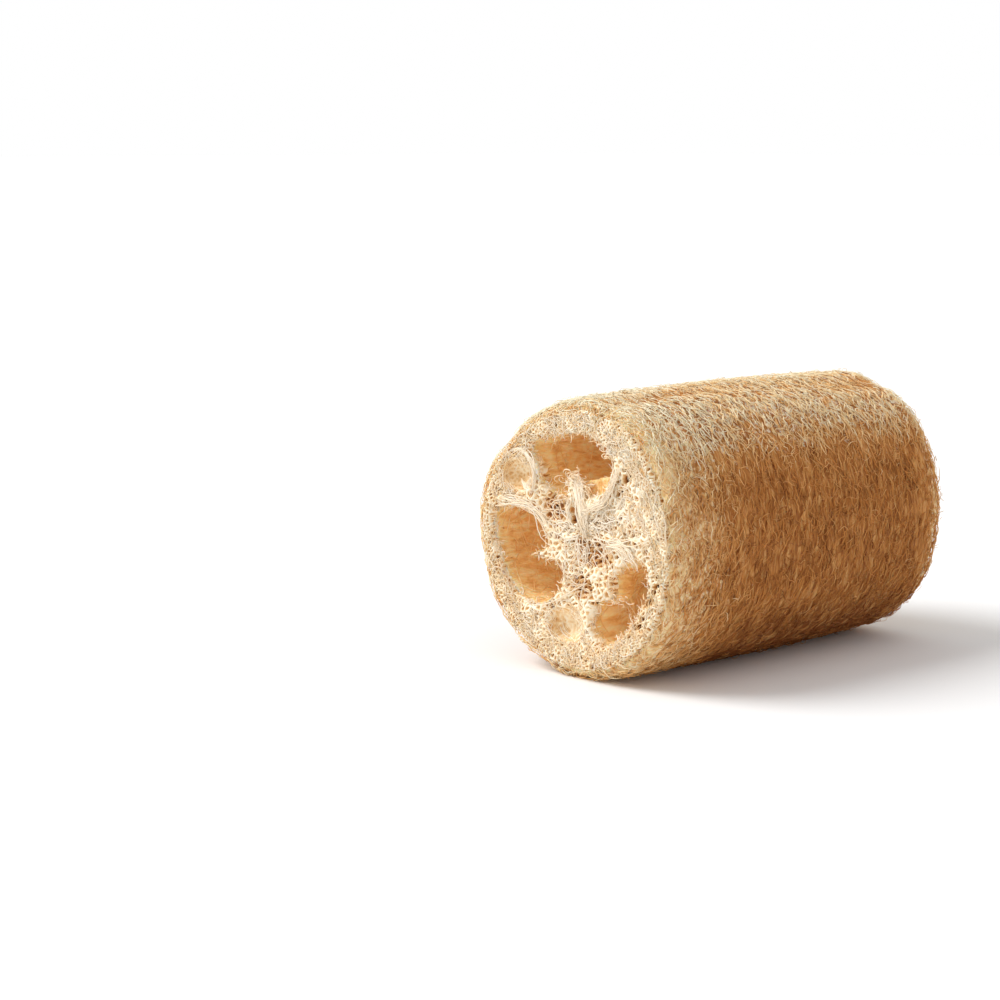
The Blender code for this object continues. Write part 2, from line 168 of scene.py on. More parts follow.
# The same for the core's knot, the edge of the right chamber's lobe, and the knobs right of the top chamber.
SPOT_CURLS = (
    (70, (0.0032, 0.0044), (0.0012, 0.0009), (0.0003, 0.0013), (1.5, 4.0), (0.00012, 0.00028),
     (-0.0010, 0.0002)),
    (50, (0.0118, -0.0153), (0.0030, 0.0006), (0.0003, 0.0011), (1.5, 3.5), (0.00009, 0.00018),
     (0.0008, 0.0030)),
    (46, (0.0138, 0.0262), (0.0024, 0.0020), (0.0004, 0.0012), (1.5, 4.5), (0.00012, 0.00030),
     (-0.0008, 0.0006)),
)

# The shown web's named holes, the slit beside the core first: x, z, half length, half width and heading.
NAMED_HOLES = (
    (-0.0012, 0.0081, 0.0034, 0.0010, math.radians(80)),
    (0.0196, 0.0193, 0.0016, 0.0009, math.radians(35)),
    (0.0162, 0.0150, 0.0011, 0.0006, math.radians(35)),
)

# The row of holes along the right chamber: radius, first and last degrees and count, then how they vary.
HOLE_ROW = (0.0322, -40, -10, 9)
HOLE_STRAY_ANGLE = 0.02
HOLE_STRAY = 0.0004
HOLE_HALF_LENGTH = (0.0009, 0.0014)
HOLE_HALF_WIDTH = (0.0004, 0.0007)
HOLE_HEADING = (25, 10)
HOLE_EDGE = (0.7, 1.4)
HOLE_KEPT_CLEAR = 0.6

# Grids of depths over a cut face: reach from the axis, step, where rays start, and the depth where none hits.
GRID_REACH = 0.042
GRID_STEP = 0.0005
RAY_START = 0.01
NO_FLOOR = 1.0
MOUTH_DEPTH = 0.0030
POCKET_DEPTH = 0.0100

# The web's sheet at each cut end: step, outer radius, then its cells as size, stretch, from and to radius.
WEB_GRAIN = math.radians(38)
WEB_STEP = {-1: 0.00028, 1: 0.00034}
WEB_RADIUS = {-1: FACE_RADIUS + 0.0006, 1: RADIUS - FAR_RIM_ROUND + 0.0006}
WEB_RINGS = {
    -1: ((0.0019, 1.30, 0, 0.0305), (0.0012, 1.05, 0.0300, 0.0420)),
    1: ((0.0021, 1.15, 0, 0.0270), (0.0015, 1.05, 0.0265, 0.0420)),
}
WEB_REACH = 0.041
CELL_ROWS = 0.87
CELL_WALL = (0.07, 0.34)
OPEN_CELLS = (0.80, 0.90)
FAN_EDGE = (0.006, 0.014)

# Heights and depths of the sheet in metres: its fall over the mouths' edges, cells, holes, beds and waves.
WEB_PROUD = 0.0001
SHEET_EDGE = (0.42, 0.86)
SHEET_FALL = 0.0024
CELL_DEPTH = 0.0005
OPENER_CELL_DEPTH = 0.0006
DEEP_CELL_DEPTH = 0.0016
HOLE_DEPTH = 0.0022
BED_DEPTH = 0.0012
BUNDLE_RISE = 0.0008
BROAD_WAVE = 0.00035
FINE_WAVE = 0.0002
FLOOR_SLACK = 0.0004

# The sheet's waves in radians per metre along x and z, then shares: how far it follows the mat below it, how
# much calmer pockets are, how much more open the cells of beds and the fan are, and how bundles flatten them.
BROAD_WAVES = (510, 430)
FINE_WAVES = (1100, 900)
FLOOR_SHARE = 0.35
POCKET_CALM = 0.75
BED_OPENS = 0.12
FAN_OPENS = 0.24
BUNDLE_FLATTENS = 0.5

# How much browner than cream each feature makes the sheet; in cells the brown is partly the deeper fibre's
# colour and partly painted shade.
SHEET_TONES = {
    "cell": 0.42, "opener_cell": 0.24, "deep_cell": 0.5, "fan_cell": 0.2, "bed": 0.40, "bundle": 0.10,
    "pocket": 0.12, "fan": 0.06, "membrane": 0.45, "outer": 0.10, "mouth": 0.10,
}
MEMBRANE_HALF_WIDTH = 0.0017
OUTER_WEB = (0.020, 0.034)
MOUTH_COVER = (0.74, 0.16)

# Middle lines of the seed chambers at the shown end, x and z from the axis, and their twist.
CHAMBER_MIDDLES = ((-0.0215, -0.0062), (0.0010, 0.0205), (0.0170, -0.0150))
CHAMBER_TWIST = math.radians(-7)
CHAMBER_REACH = 0.010
CHAMBER_LIMIT = 0.020

# Zones of the mat near a cut end, as metres before it where each starts and where it is full.
CUT_FACE_ZONE = (0.0065, 0.0035)
RIM_ZONE = (0.012, 0.0035)
MOUTH_ZONE = (0.0036, 0.0012)
POCKET_ZONE = (0.0085, 0.0060)
SWELL_ZONE = (0.018, 0.007)

# Its other zones: along the body, inward from the skin, out from the axis, below the face and by normals.
NEAR_FLANK = (0.010, 0.032)
INSIDE_SKIN = (0.0020, 0.0040)
PAST_MIDDLE = (0.027, 0.032)
POCKET_SUNK = (-0.0022, -0.0012)
MAT_POCKET_EDGE = (0.9, 1.15)
BUNDLE_FADE = (0.0001, 0.0020)
FACES_END = (0.45, 0.75)
FACES_UP = (0.30, 0.85)

# How far a zone of the mat looks like a cut face, or pale. The near flank's face-like colour is painted light,
# and the pale top is partly paler fibre and partly painted light, held back in the furrows as painted shade.
RIM_AS_FACE = 0.85
NEAR_FLANK_PAINTED_LIGHT = 0.50
PALE_BUNDLES = 0.35
PALE_MOUTHS = 0.8
PALE_TOP_AND_PAINTED_LIGHT = 0.44

# The skin's layers of fibre: ranges of length, radius and height off the skin, and spread of direction.
SKIN_LAYERS = (
    ("skin_fibres_under", (0.0035, 0.008), (0.00014, 0.00025), (-0.0008, -0.0002), 0.5),
    ("skin_fibres_middle", (0.003, 0.007), (0.00011, 0.00020), (-0.0004, 0.0001), 0.6),
    ("skin_fibres_upper", (0.0025, 0.0065), (0.00008, 0.00014), (-0.0001, 0.0004), 0.7),
)
SKIN_STRANDS = 6350
SKIN_POINTS = 5
SKIN_TILT = 0.12
SKIN_CURL = 1.2
SKIN_ARCH = (-0.0002, 0.0005)
SHORTER_ON_TOP = 0.12

# How far over the cut faces the skin's fibres start, and how much denser they lie on top, pressed and worn.
FACE_RING = 0.0085
TOP_DENSITY = 0.36

# The tone of the skin's fibres, and how much paler or darker they are, with where that starts and is full.
# Paler rims are the fibre's own colour; darker deeper fibres, underside and furrows are painted shade; the
# paler near flank is painted light; the paler top is partly paler fibre and partly painted light.
SKIN_TONE = 0.34
DEPTH_PAINTED_SHADE_PER_METRE = 250
TONE_SPREAD = (0.07, 0.12)
NEAR_RIM_PALER, NEAR_RIM_RUN = 0.26, (-0.001, 0.010)
FAR_RIM_PALER, FAR_RIM_RUN = 0.30, (SIDE_LENGTH - 0.015, SIDE_LENGTH - 0.002)
FLANK_PAINTED_LIGHT, FLANK_RUN = 0.25, (0.014, 0.038)
UNDER_PAINTED_SHADE, UNDER_FACING, UNDER_RUN = 0.30, (0.30, 0.80), (0.020, 0.045)
FURROW_PAINTED_SHADE = 0.20
TOP_PALER_AND_PAINTED_LIGHT, TOP_FACING = 0.52, (0.28, 0.80)

# How strands wander: waves along one, their share of its curl, and how full a tapered strand's ends are.
STRAND_WAVES = 9
WAVE_SHARE = 0.5
TAPER_FULLNESS = 0.6

# Where strands must stay over the web, inside the rim and near the end, and how far in face fibres stay.
WEB_MARGIN = 0.0050
WEB_END = 0.0060
RIM_MARGIN = 0.0030

# The other groups of fibre: counts, points along each, and the ranges that each draws from.
HAIRS = {
    "count": 1300, "points": 5, "tilt": 0.2, "spread": 0.8, "curl": 1.4, "length": (0.002, 0.005),
    "lift": (0.0003, 0.0012), "rise": 0.8, "radius": (0.00006, 0.00010), "tone": 0.42, "top_pale_and_painted_light": 0.45,
    "tone_spread": 0.1,
}
TORN = {
    "tries": 10000, "points": 4, "area": (0, 0.85), "cover": (0.45, 0.85), "rim": 0.002, "slope_step": 0.0006,
    "spread": 1.2, "curl": 1.6, "length": (0.0010, 0.0030), "back": 0.0009, "sink": (0.0000, 0.0022),
    "droop": 0.0006, "radius": (0.00010, 0.00024), "thinning": (1.2, 0.5), "shade": (0.5, 1.0),
}
LOOSE = {
    "count": {-1: 4000, 1: 1400}, "points": 7, "area": (0.002, 0.90), "spread": 1.2, "curl": 1.4,
    "length": (0.003, 0.010), "over_web": 0.85, "bed_share": (0.0, 1.1), "middle": 0.027,
    "middle_share": 0.52, "sink": (-0.0007, 0.0001), "radius": (0.00008, 0.00017), "shade": (0.84, 0.14),
}
RAYS = {
    "points": 11, "stray": 0.0014, "spread": 0.3, "curl": 1.1, "length": (0.005, 0.019), "over_web": 0.9,
    "sink": (-0.0010, -0.0002), "thinning": 0.6, "radius": (0.00016, 0.00036), "shade": (0.95, 0.05),
}
SWIRLS = {
    "per_pocket": 22, "turn": (1.2, 4.2), "reach": (0.35, 1.05), "drift": (-0.5, 0.5), "deepest": 0.006,
    "proud": 0.0006, "radius": (0.00010, 0.00026), "shade": (0.45, 0.95),
}
VEIL = {
    "count": 20, "start": (0.0065, 0.0190), "drop": (0.0035, 0.0110), "sway": 0.0006, "waves": (3, 8),
    "drift": (0.0010, 0.0022), "top": (-0.0140, 0.0020), "sink": (0.0025, 0.0090), "bow": 0.0020,
    "radius": (0.00006, 0.00013), "shade": (0.35, 0.85),
}
WALL_FIBRES = {
    "per_chamber": 640, "points": 5, "pitch": 0.8, "length": (0.003, 0.010), "proud": 0.0001,
    "radius": (0.00010, 0.00022), "shade": (0.5, 0.2),
}

# The rays that fan out from the core: end, count, heading and its spread, and the gap where they start.
RAY_FANS = (
    (-1, 70, 0, 3, 0.004), (1, 70, 0, 3, 0.004),
    (-1, 40, WEB_GRAIN, 0.42, 0.016), (-1, 8, math.radians(-75), 0.5, 0.010),
)

# How a bundle's fibres run: share of its length, twist in radians, and distance and sway in bundle radii.
BUNDLE_PART = (0.35, 0.95)
BUNDLE_TWIST = (-2.6, 2.6)
BUNDLE_AWAY = (0.1, 1.15)
BUNDLE_DRIFT = (-1.1, 1.1)
BUNDLE_SWAY = 0.5
BUNDLE_WAVES = (4, 13)
BUNDLE_FLATNESS = 0.45
BUNDLE_LIFT = 0.35
BUNDLE_PROUD = 0.0012
BUNDLE_DEPTH_SHARE = 0.8
BUNDLE_THICKNESS = (0.00007, 0.00025)
BUNDLE_SHADE = (0.82, 1.0)
CURL_SHADE = (0.66, 1.0)

# Colours as screen values, from the shaded depths of the fibre to its brightest strands.
SKIN_STOPS = (
    (0.0, (150, 84, 32)), (0.35, (216, 145, 72)), (0.55, (240, 184, 114)), (0.75, (253, 222, 168)),
    (1.0, (255, 244, 214)),
)
WEB_STOPS = ((0.0, (196, 128, 62)), (0.4, (242, 200, 136)), (0.75, (254, 230, 194)), (1.0, (255, 243, 224)))
CHAMBER_STOPS = ((0.0, (228, 166, 96)), (0.5, (248, 208, 142)), (1.0, (255, 236, 190)))
SKIN_MAT_STOPS = ((0.30, (142, 84, 38)), (0.5, (194, 128, 66)), (0.70, (228, 174, 110)))
FACE_MAT_STOPS = ((0.34, (196, 140, 80)), (0.46, (236, 196, 140)), (0.62, (250, 228, 184)))
WEB_MAT_STOPS = ((0.34, (204, 150, 90)), (0.48, (238, 202, 150)), (0.64, (252, 232, 192)))
PALE_STOPS = ((0.34, (242, 214, 172)), (0.5, (252, 238, 210)), (0.66, (255, 250, 238)))
WALL_STOPS = ((0.32, (230, 172, 104)), (0.5, (248, 208, 142)), (0.68, (255, 232, 182)))
# The sheet's stops darken to the near black brown of painted shade in its deepest cells and holes.
SHEET_STOPS = (
    (0.0, (255, 246, 224)), (0.12, (251, 232, 196)), (0.30, (231, 191, 135)), (0.56, (188, 122, 58)),
    (0.90, (88, 46, 18)),
)

# Light that soaks through the porous mat into its chambers, which no opaque wall would pass, by subsurface
# scattering; the glows are painted light, an emission that stands in for it.
WALL_PAINTED_GLOW = 0.085
FACE_PAINTED_GLOW_SHARE = 0.45
SHEET_PAINTED_GLOW = 0.04
SOAK_WEIGHT = 0.35
SOAK_REACH = 0.004
SOAK_BY_COLOUR = (1.0, 0.5, 0.2)

# Roughness and specular level of each material.
FIBRE_FINISH = (0.62, 0.35)
SHEET_FINISH = (0.7, 0.3)
MAT_FINISH = (0.8, 0.2)
FLOOR_FINISH = (0.9, 0.0)

# Noises of the materials: waves per metre along x, y and z, detail and distortion.
FIBRE_NOISE = ((420, 420, 420), 2, 0)
SHEET_NOISE = ((900, 900, 900), 4, 0.6)
PATCH_NOISE = ((190, 190, 190), 2, 0.8)
SKIN_NOISE = ((150, 900, 150), 5, 0.9)
FACE_NOISE = ((520, 520, 520), 4, 0.8)
WALL_NOISE = ((640, 240, 640), 6, 0.3)
EDGE_NOISE = ((700, 700, 700), 3, 0.3)

# How strongly noise shifts the tones, how far it tears a zone's edge, and how high it bumps, in metres.
FIBRE_UNEVENNESS = 0.24
SHEET_UNEVENNESS = 0.34
SHEET_SHIFT = -0.39
SHEET_PATCHES = 0.5
TORN_EDGE = 1.6
EDGE_SOFTNESS = {"face": 0.25, "wall": 0.12, "web": 0.3, "pale": 0.2}
SHEET_BUMP = 0.0003
MAT_BUMP = 0.0012

# White surroundings, a broad soft key from the upper left, and the floor.
WORLD_LIGHT = 0.66
KEY_STRENGTH = 2.4
KEY_SOFTNESS = 36
KEY_FROM = (-0.50, -0.48, 0.72)
FLOOR_SIZE = 30
FLOOR_COLOUR = (0.92, 0.92, 0.92, 1)


def clipped_smooth(value, low, high):
    """A smooth step from 0 at low to 1 at high."""
    share = np.clip((value - low) / (high - low), 0, 1)
    return share * share * (3 - 2 * share)


def unit(vectors):
    return vectors / np.maximum(np.linalg.norm(vectors, axis=-1, keepdims=True), 1e-9)


def section_factor(angle):
    total = np.ones_like(angle)
    for waves, cosine, sine in SECTION_LOBES:
        total += cosine * np.cos(waves * angle) + sine * np.sin(waves * angle)
    return total


def furrow_depth(angle, y):
    """How deep the furrows are at each angle and spot along the body."""
    depth = np.zeros_like(angle)
    for degrees, deepest, half_width in FURROWS:
        centre = np.radians(degrees + FURROW_SWAY * np.sin(y * FURROW_SWAY_WAVES + degrees))
        away = (angle - centre + math.pi) % math.tau - math.pi
        away /= math.radians(half_width)
        change = 1 - FURROW_CHANGE + FURROW_CHANGE * np.cos(y * FURROW_CHANGE_WAVES + degrees)
        depth += deepest * np.exp(-away * away) * change
    return depth


def profile(run):
    """(y, radius) along the body from cut face to cut face. Past either end it goes on over the face."""
    near_turn = np.clip(run / NEAR_RIM_ROUND, 0, math.pi / 2)
    far_turn = np.clip((run - NEAR_ARC - STRAIGHT) / FAR_RIM_ROUND, 0, math.pi / 2)
    share = np.clip((run - NEAR_ARC) / STRAIGHT, 0, 1)
    y = -HALF + NEAR_RIM_ROUND * (1 - np.cos(near_turn)) + STRAIGHT * share
    y = y + FAR_RIM_ROUND * np.sin(far_turn)
    radius = RADIUS + WAIST_SWELL * np.sin(math.pi * share)
    radius = radius - NEAR_RIM_ROUND * (1 - np.sin(near_turn)) - FAR_RIM_ROUND * (1 - np.cos(far_turn))
    over_near = np.maximum(-run, 0)
    over_far = np.maximum(run - SIDE_LENGTH, 0)
    radius = radius - over_near - over_far
    dish = FACE_DISH * (1 - np.minimum(1, radius / FACE_RADIUS) ** 2)
    y = y + np.where(over_near > 0, dish, 0) - np.where(over_far > 0, dish, 0)
    return y, radius


def skin_points(angle, run):
    y, radius = profile(run)
    radius = radius * section_factor(angle) - furrow_depth(angle, y)
    return np.stack((radius * np.cos(angle), y, radius * np.sin(angle)), axis=-1) + AXIS


def skin_normals(angle, run):
    turn, step = 0.004, 0.0002
    around = skin_points(angle + turn, run) - skin_points(angle - turn, run)
    along = skin_points(angle, run + step) - skin_points(angle, run - step)
    return unit(np.cross(along, around))


def face_y(x, z, end):
    """Where the dished cut face lies along the body."""
    away = np.minimum(1, np.hypot(x, z) / FACE_RADIUS)
    return end * (HALF - FACE_DISH * (1 - away * away))


def face_paths(flat_x, flat_z, sink, end):
    """Paths on a cut face, sunk into it by the given depths, from points measured from the axis."""
    y = face_y(flat_x, flat_z, end) - end * sink
    return np.stack((flat_x, y, flat_z), axis=-1) + AXIS


def face_ups(paths, end):
    """The way out of a cut face, at each point of the paths."""
    ups = np.zeros_like(paths)
    ups[:, :, 1] = end
    return ups


def smooth_route(route, points):
    """Evenly shared points on a smooth curve through the route's own points."""
    knots = np.concatenate((route[:1] * 2 - route[1:2], route, route[-1:] * 2 - route[-2:-1]))
    at = np.linspace(0, len(route) - 1 - 1e-6, points)
    first = at.astype(int)
    share = (at - first)[:, None]
    before, start, end, after = (knots[first + i] for i in range(4))
    return 0.5 * (
        2 * start + (end - before) * share
        + (2 * before - 5 * start + 4 * end - after) * share ** 2
        + (3 * start - before - 3 * end + after) * share ** 3
    )


def grid_lines():
    return np.arange(-GRID_REACH, GRID_REACH + GRID_STEP / 5, GRID_STEP)


def face_depths(tree, end):
    """How far the mat lies behind each spot of the dished cut face, on a half-millimetre grid."""
    lines = grid_lines()
    start_y = AXIS[1] + end * (HALF + RAY_START)
    depths = np.zeros((len(lines), len(lines)))
    for row, z in enumerate(lines):
        for column, x in enumerate(lines):
            hit = tree.ray_cast((x + AXIS[0], start_y, z + AXIS[2]), (0, -end, 0))[0]
            depths[row, column] = abs(hit.y - start_y) - RAY_START if hit else NO_FLOOR
    away = np.hypot(*np.meshgrid(lines, lines)) / FACE_RADIUS
    return depths - FACE_DISH * (1 - np.minimum(1, away) ** 2)


def depth_at(depths, x, z):
    """The grid's depth at its spot nearest to each point given from the axis."""
    column = np.clip(np.rint((x + GRID_REACH) / GRID_STEP).astype(int), 0, depths.shape[1] - 1)
    row = np.clip(np.rint((z + GRID_REACH) / GRID_STEP).astype(int), 0, depths.shape[0] - 1)
    return depths[row, column]


def smooth_at(grid, x, z):
    """The grid's value at points given from the axis, blended between its four nearest spots."""
    column = np.clip((x + GRID_REACH) / GRID_STEP, 0, grid.shape[1] - 1.001)
    row = np.clip((z + GRID_REACH) / GRID_STEP, 0, grid.shape[0] - 1.001)
    left, low = column.astype(int), row.astype(int)
    right, high = column - left, row - low
    lower = grid[low, left] * (1 - right) + grid[low, left + 1] * right
    upper = grid[low + 1, left] * (1 - right) + grid[low + 1, left + 1] * right
    return lower * (1 - high) + upper * high


def blurred(grid, passes):
    for _ in range(passes):
        padded = np.pad(grid, 1, "edge")
        beside = padded[:-2, 1:-1], padded[2:, 1:-1], padded[1:-1, :-2], padded[1:-1, 2:]
        grid = (2 * grid + beside[0] + beside[1] + beside[2] + beside[3]) / 6
    return grid


def in_oval(x, z, oval, edge):
    """How far points lie in an oval of middle x and z, half width and half height, from 0 outside to 1."""
    middle_x, middle_z, half_width, half_height = oval
    away = np.hypot((x - middle_x) / half_width, (z - middle_z) / half_height)
    return 1 - clipped_smooth(away, *edge)


def in_pockets(x, z, end, edge=POCKET_EDGE):
    """How far points of a cut end lie in one of its shallow pockets, from 0 outside to 1."""
    share = np.zeros_like(x)
    for pocket in POCKETS[end]:
        share = np.maximum(share, in_oval(x, z, pocket, edge))
    return share


def in_beds(x, z, end):
    """How far points of a cut end lie in one of the beds near its core, from 0 outside to 1."""
    share = np.zeros_like(x)
    for *bed, _ in CURL_BEDS if end < 0 else ():
        share = np.maximum(share, in_oval(x, z, bed, BED_EDGE))
    return share


def solid_web(depths, end):
    """Where a cut end is solid web, from 1 well inside it to 0 over the mouths and past the rim."""
    lines = grid_lines()
    x, z = np.meshgrid(lines, lines)
    rim = WEB_RADIUS[end] * section_factor(np.arctan2(z, x))
    solid = depths < np.where(in_pockets(x, z, end) > 0, POCKET_DEPTH, MOUTH_DEPTH)
    return blurred((solid & (np.hypot(x, z) < rim)).astype(float), 3)


def hole_share(holes, x, z):
    """How far inside one of the web's holes each point lies, from 0 outside to 1."""
    share = np.zeros_like(x)
    for hole_x, hole_z, half_length, half_width, heading in holes:
        cosine, sine = math.cos(heading), math.sin(heading)
        along = ((x - hole_x) * cosine + (z - hole_z) * sine) / half_length
        across = ((z - hole_z) * cosine - (x - hole_x) * sine) / half_width
        share = np.maximum(share, 1 - clipped_smooth(np.hypot(along, across), *HOLE_EDGE))
    return share


def write_attribute(mesh, name, values):
    attribute = mesh.attributes.new(name, "FLOAT", "POINT")
    attribute.data.foreach_set("value", values.astype(np.float32))


def vertex_values(mesh, kind):
    """What the mesh says of each vertex, either its place ("co") or its direction ("normal")."""
    values = np.empty(len(mesh.vertices) * 3, np.float32)
    mesh.vertices.foreach_get(kind, values)
    return values.reshape(-1, 3)


def move_vertices(mesh, points):
    mesh.vertices.foreach_set("co", points.astype(np.float32).ravel())
    mesh.update()


def add_piece(name, mesh, material):
    """Adds a mesh as a piece of the sponge's looks."""
    mesh.materials.append(material)
    piece = bpy.data.objects.new(name, mesh)
    bpy.context.scene.collection.objects.link(piece)
    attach(piece, "root")


def tube_faces(count, length):
    """Corner numbers of the faces of closed three-sided tubes: the long sides, then the caps."""
    first = (np.arange(count)[:, None] * length + np.arange(length - 1)) * 3
    quads = []
    for corner in range(3):
        after = (corner + 1) % 3
        corners = (first + corner, first + after, first + after + 3, first + corner + 3)
        quads.append(np.stack(corners, axis=-1))
    start = np.arange(count) * length * 3
    last = start + (length - 1) * 3
    caps = np.concatenate((
        np.stack((start + 2, start + 1, start), axis=-1),
        np.stack((last, last + 1, last + 2), axis=-1),
    ))
    return np.stack(quads, axis=2).reshape(-1, 4), caps


def tubes(name, paths, radii, ups, shades, material):
    """One piece of closed three-sided tubes.

    paths is (tubes, points, 3), radii is (tubes, points), ups is (tubes, points, 3) and shades is (tubes).
    """
    count, length, _ = paths.shape
    along = unit(np.gradient(paths, axis=1))
    side = unit(np.cross(along, ups))
    up = np.cross(side, along)
    turns = np.radians((90, 210, 330))[:, None]
    ring = np.cos(turns) * side[:, :, None, :] + np.sin(turns) * up[:, :, None, :]
    verts = (paths[:, :, None, :] + radii[:, :, None, None] * ring).reshape(-1, 3)
    quads, caps = tube_faces(count, length)
    corners = np.concatenate((quads.ravel(), caps.ravel()))
    sizes = np.concatenate((np.full(len(quads), 4), np.full(len(caps), 3)))
    starts = np.concatenate(((0,), np.cumsum(sizes)[:-1]))
    mesh = bpy.data.meshes.new(name)
    mesh.vertices.add(len(verts))
    mesh.vertices.foreach_set("co", verts.astype(np.float32).ravel())
    mesh.loops.add(len(corners))
    mesh.loops.foreach_set("vertex_index", corners.astype(np.int32))
    mesh.polygons.add(len(sizes))
    mesh.polygons.foreach_set("loop_start", starts.astype(np.int32))
    mesh.polygons.foreach_set("use_smooth", np.ones(len(sizes), bool))
    mesh.update(calc_edges=True)
    write_attribute(mesh, "shade", np.repeat(shades, length * 3))
    add_piece(name, mesh, material)


def taper(radii, length, end_share):
    """Radii along tubes that thin out towards both ends."""
    share = np.linspace(0, 1, length)
    shape = end_share + (1 - end_share) * np.sin(math.pi * share) ** TAPER_FULLNESS
    return radii[:, None] * shape


def linear(red, green, blue):
    """A colour given as 0 to 255 screen values, in the renderer's linear values."""
    shares = [value / 255 for value in (red, green, blue)]
    return [s / 12.92 if s <= 0.04045 else ((s + 0.055) / 1.055) ** 2.4 for s in shares] + [1.0]


def ramp_colour(tree, stops, factor):
    """The colour that a factor picks from the stops."""
    ramp = tree.nodes.new("ShaderNodeValToRGB")
    elements = ramp.color_ramp.elements
    while len(elements) < len(stops):
        elements.new(0.5)
    for element, (position, colour) in zip(elements, stops):
        element.position = position
        element.color = linear(*colour)
    tree.links.new(factor, ramp.inputs["Fac"])
    return ramp.outputs["Color"]


def noise_value(tree, waves, detail, distortion):
    """Noise in the object's own space, with its waves per metre along each axis."""
    coordinates = tree.nodes.new("ShaderNodeTexCoord")
    mapping = tree.nodes.new("ShaderNodeMapping")
    mapping.inputs["Scale"].default_value = waves
    noise = tree.nodes.new("ShaderNodeTexNoise")
    noise.inputs["Scale"].default_value = 1
    noise.inputs["Detail"].default_value = detail
    noise.inputs["Distortion"].default_value = distortion
    tree.links.new(coordinates.outputs["Object"], mapping.inputs["Vector"])
    tree.links.new(mapping.outputs["Vector"], noise.inputs["Vector"])
    return noise.outputs["Fac"]


def attribute_value(tree, name):
    attribute = tree.nodes.new("ShaderNodeAttribute")
    attribute.attribute_name = name
    return attribute.outputs["Fac"]


def math_value(tree, operation, *values):
    """The result of a math node. Each value is a number, or the socket that it comes from."""
    node = tree.nodes.new("ShaderNodeMath")
    node.operation = operation
    for socket, value in zip(node.inputs, values):
        if isinstance(value, bpy.types.NodeSocket):
            tree.links.new(value, socket)
        else:
            socket.default_value = value
    return node.outputs[0]


def mix_node(tree, factor, first, second):
    mix = tree.nodes.new("ShaderNodeMix")
    mix.data_type = "RGBA"
    tree.links.new(factor, mix.inputs[0])
    tree.links.new(first, mix.inputs[6])
    tree.links.new(second, mix.inputs[7])
    return mix.outputs[2]


def ragged(tree, zone, noise):
    """A zone's share with a torn edge: the noise moves the line where the zone ends."""
    shifted = math_value(tree, "MULTIPLY_ADD", noise, TORN_EDGE, attribute_value(tree, zone))
    middle = 0.5 + TORN_EDGE / 2
    edge = tree.nodes.new("ShaderNodeMapRange")
    edge.interpolation_type = "SMOOTHSTEP"
    edge.inputs["From Min"].default_value = middle - EDGE_SOFTNESS[zone]
    edge.inputs["From Max"].default_value = middle + EDGE_SOFTNESS[zone]
    tree.links.new(shifted, edge.inputs["Value"])
    return edge.outputs["Result"]


def new_material(name, roughness, specular):
    material = bpy.data.materials.new(name)
    material.use_nodes = True
    shader = material.node_tree.nodes["Principled BSDF"]
    shader.inputs["Roughness"].default_value = roughness
    shader.inputs["Specular IOR Level"].default_value = specular
    return material, material.node_tree, shader


def let_light_in(shader):
    """Lets light soak through the fibre, red the furthest, as it does in a thin dry plant wall."""
    shader.inputs["Subsurface Weight"].default_value = SOAK_WEIGHT
    shader.inputs["Subsurface Radius"].default_value = SOAK_BY_COLOUR
    shader.inputs["Subsurface Scale"].default_value = SOAK_REACH


def colour_surface(tree, shader, colour, painted_glow):
    """Gives a surface its colour, and a painted glow of the same colour: emission that stands in for light,
    though the surface is no lamp.
    """
    tree.links.new(colour, shader.inputs["Base Color"])
    tree.links.new(colour, shader.inputs["Emission Color"])
    shader.inputs["Emission Strength"].default_value = painted_glow


def roughen(tree, shader, height, distance):
    """Bumps a surface, up to a distance in metres."""
    bump = tree.nodes.new("ShaderNodeBump")
    bump.inputs["Strength"].default_value = 1.0
    bump.inputs["Distance"].default_value = distance
    tree.links.new(height, bump.inputs["Height"])
    tree.links.new(bump.outputs["Normal"], shader.inputs["Normal"])


def fibre_material(name, stops, painted_glow=0.0):
    """Dry plant fibre. Each fibre's own shade picks its colour, with a little variation along it, and a
    painted glow if one is given.
    """
    material, tree, shader = new_material(name, *FIBRE_FINISH)
    noise = noise_value(tree, *FIBRE_NOISE)
    uneven = math_value(tree, "MULTIPLY_ADD", noise, FIBRE_UNEVENNESS, -FIBRE_UNEVENNESS / 2)
    tone = math_value(tree, "ADD", attribute_value(tree, "shade"), uneven)
    colour_surface(tree, shader, ramp_colour(tree, stops, tone), painted_glow)
    return material


def sheet_material():
    """The web's sheet: cream along the borders of its cells, browner the further in a cell goes, partly the
    deeper fibre's colour and partly painted shade, with a weak painted glow.
    """
    material, tree, shader = new_material("loofah_web", *SHEET_FINISH)
    noise = noise_value(tree, *SHEET_NOISE)
    uneven = math_value(tree, "MULTIPLY_ADD", noise, SHEET_UNEVENNESS, SHEET_SHIFT)
    tone = math_value(tree, "ADD", attribute_value(tree, "pit"), uneven)
    patchy = math_value(tree, "MULTIPLY_ADD", noise_value(tree, *PATCH_NOISE), SHEET_PATCHES, tone)
    colour_surface(tree, shader, ramp_colour(tree, SHEET_STOPS, patchy), SHEET_PAINTED_GLOW)
    roughen(tree, shader, noise, SHEET_BUMP)
    return material


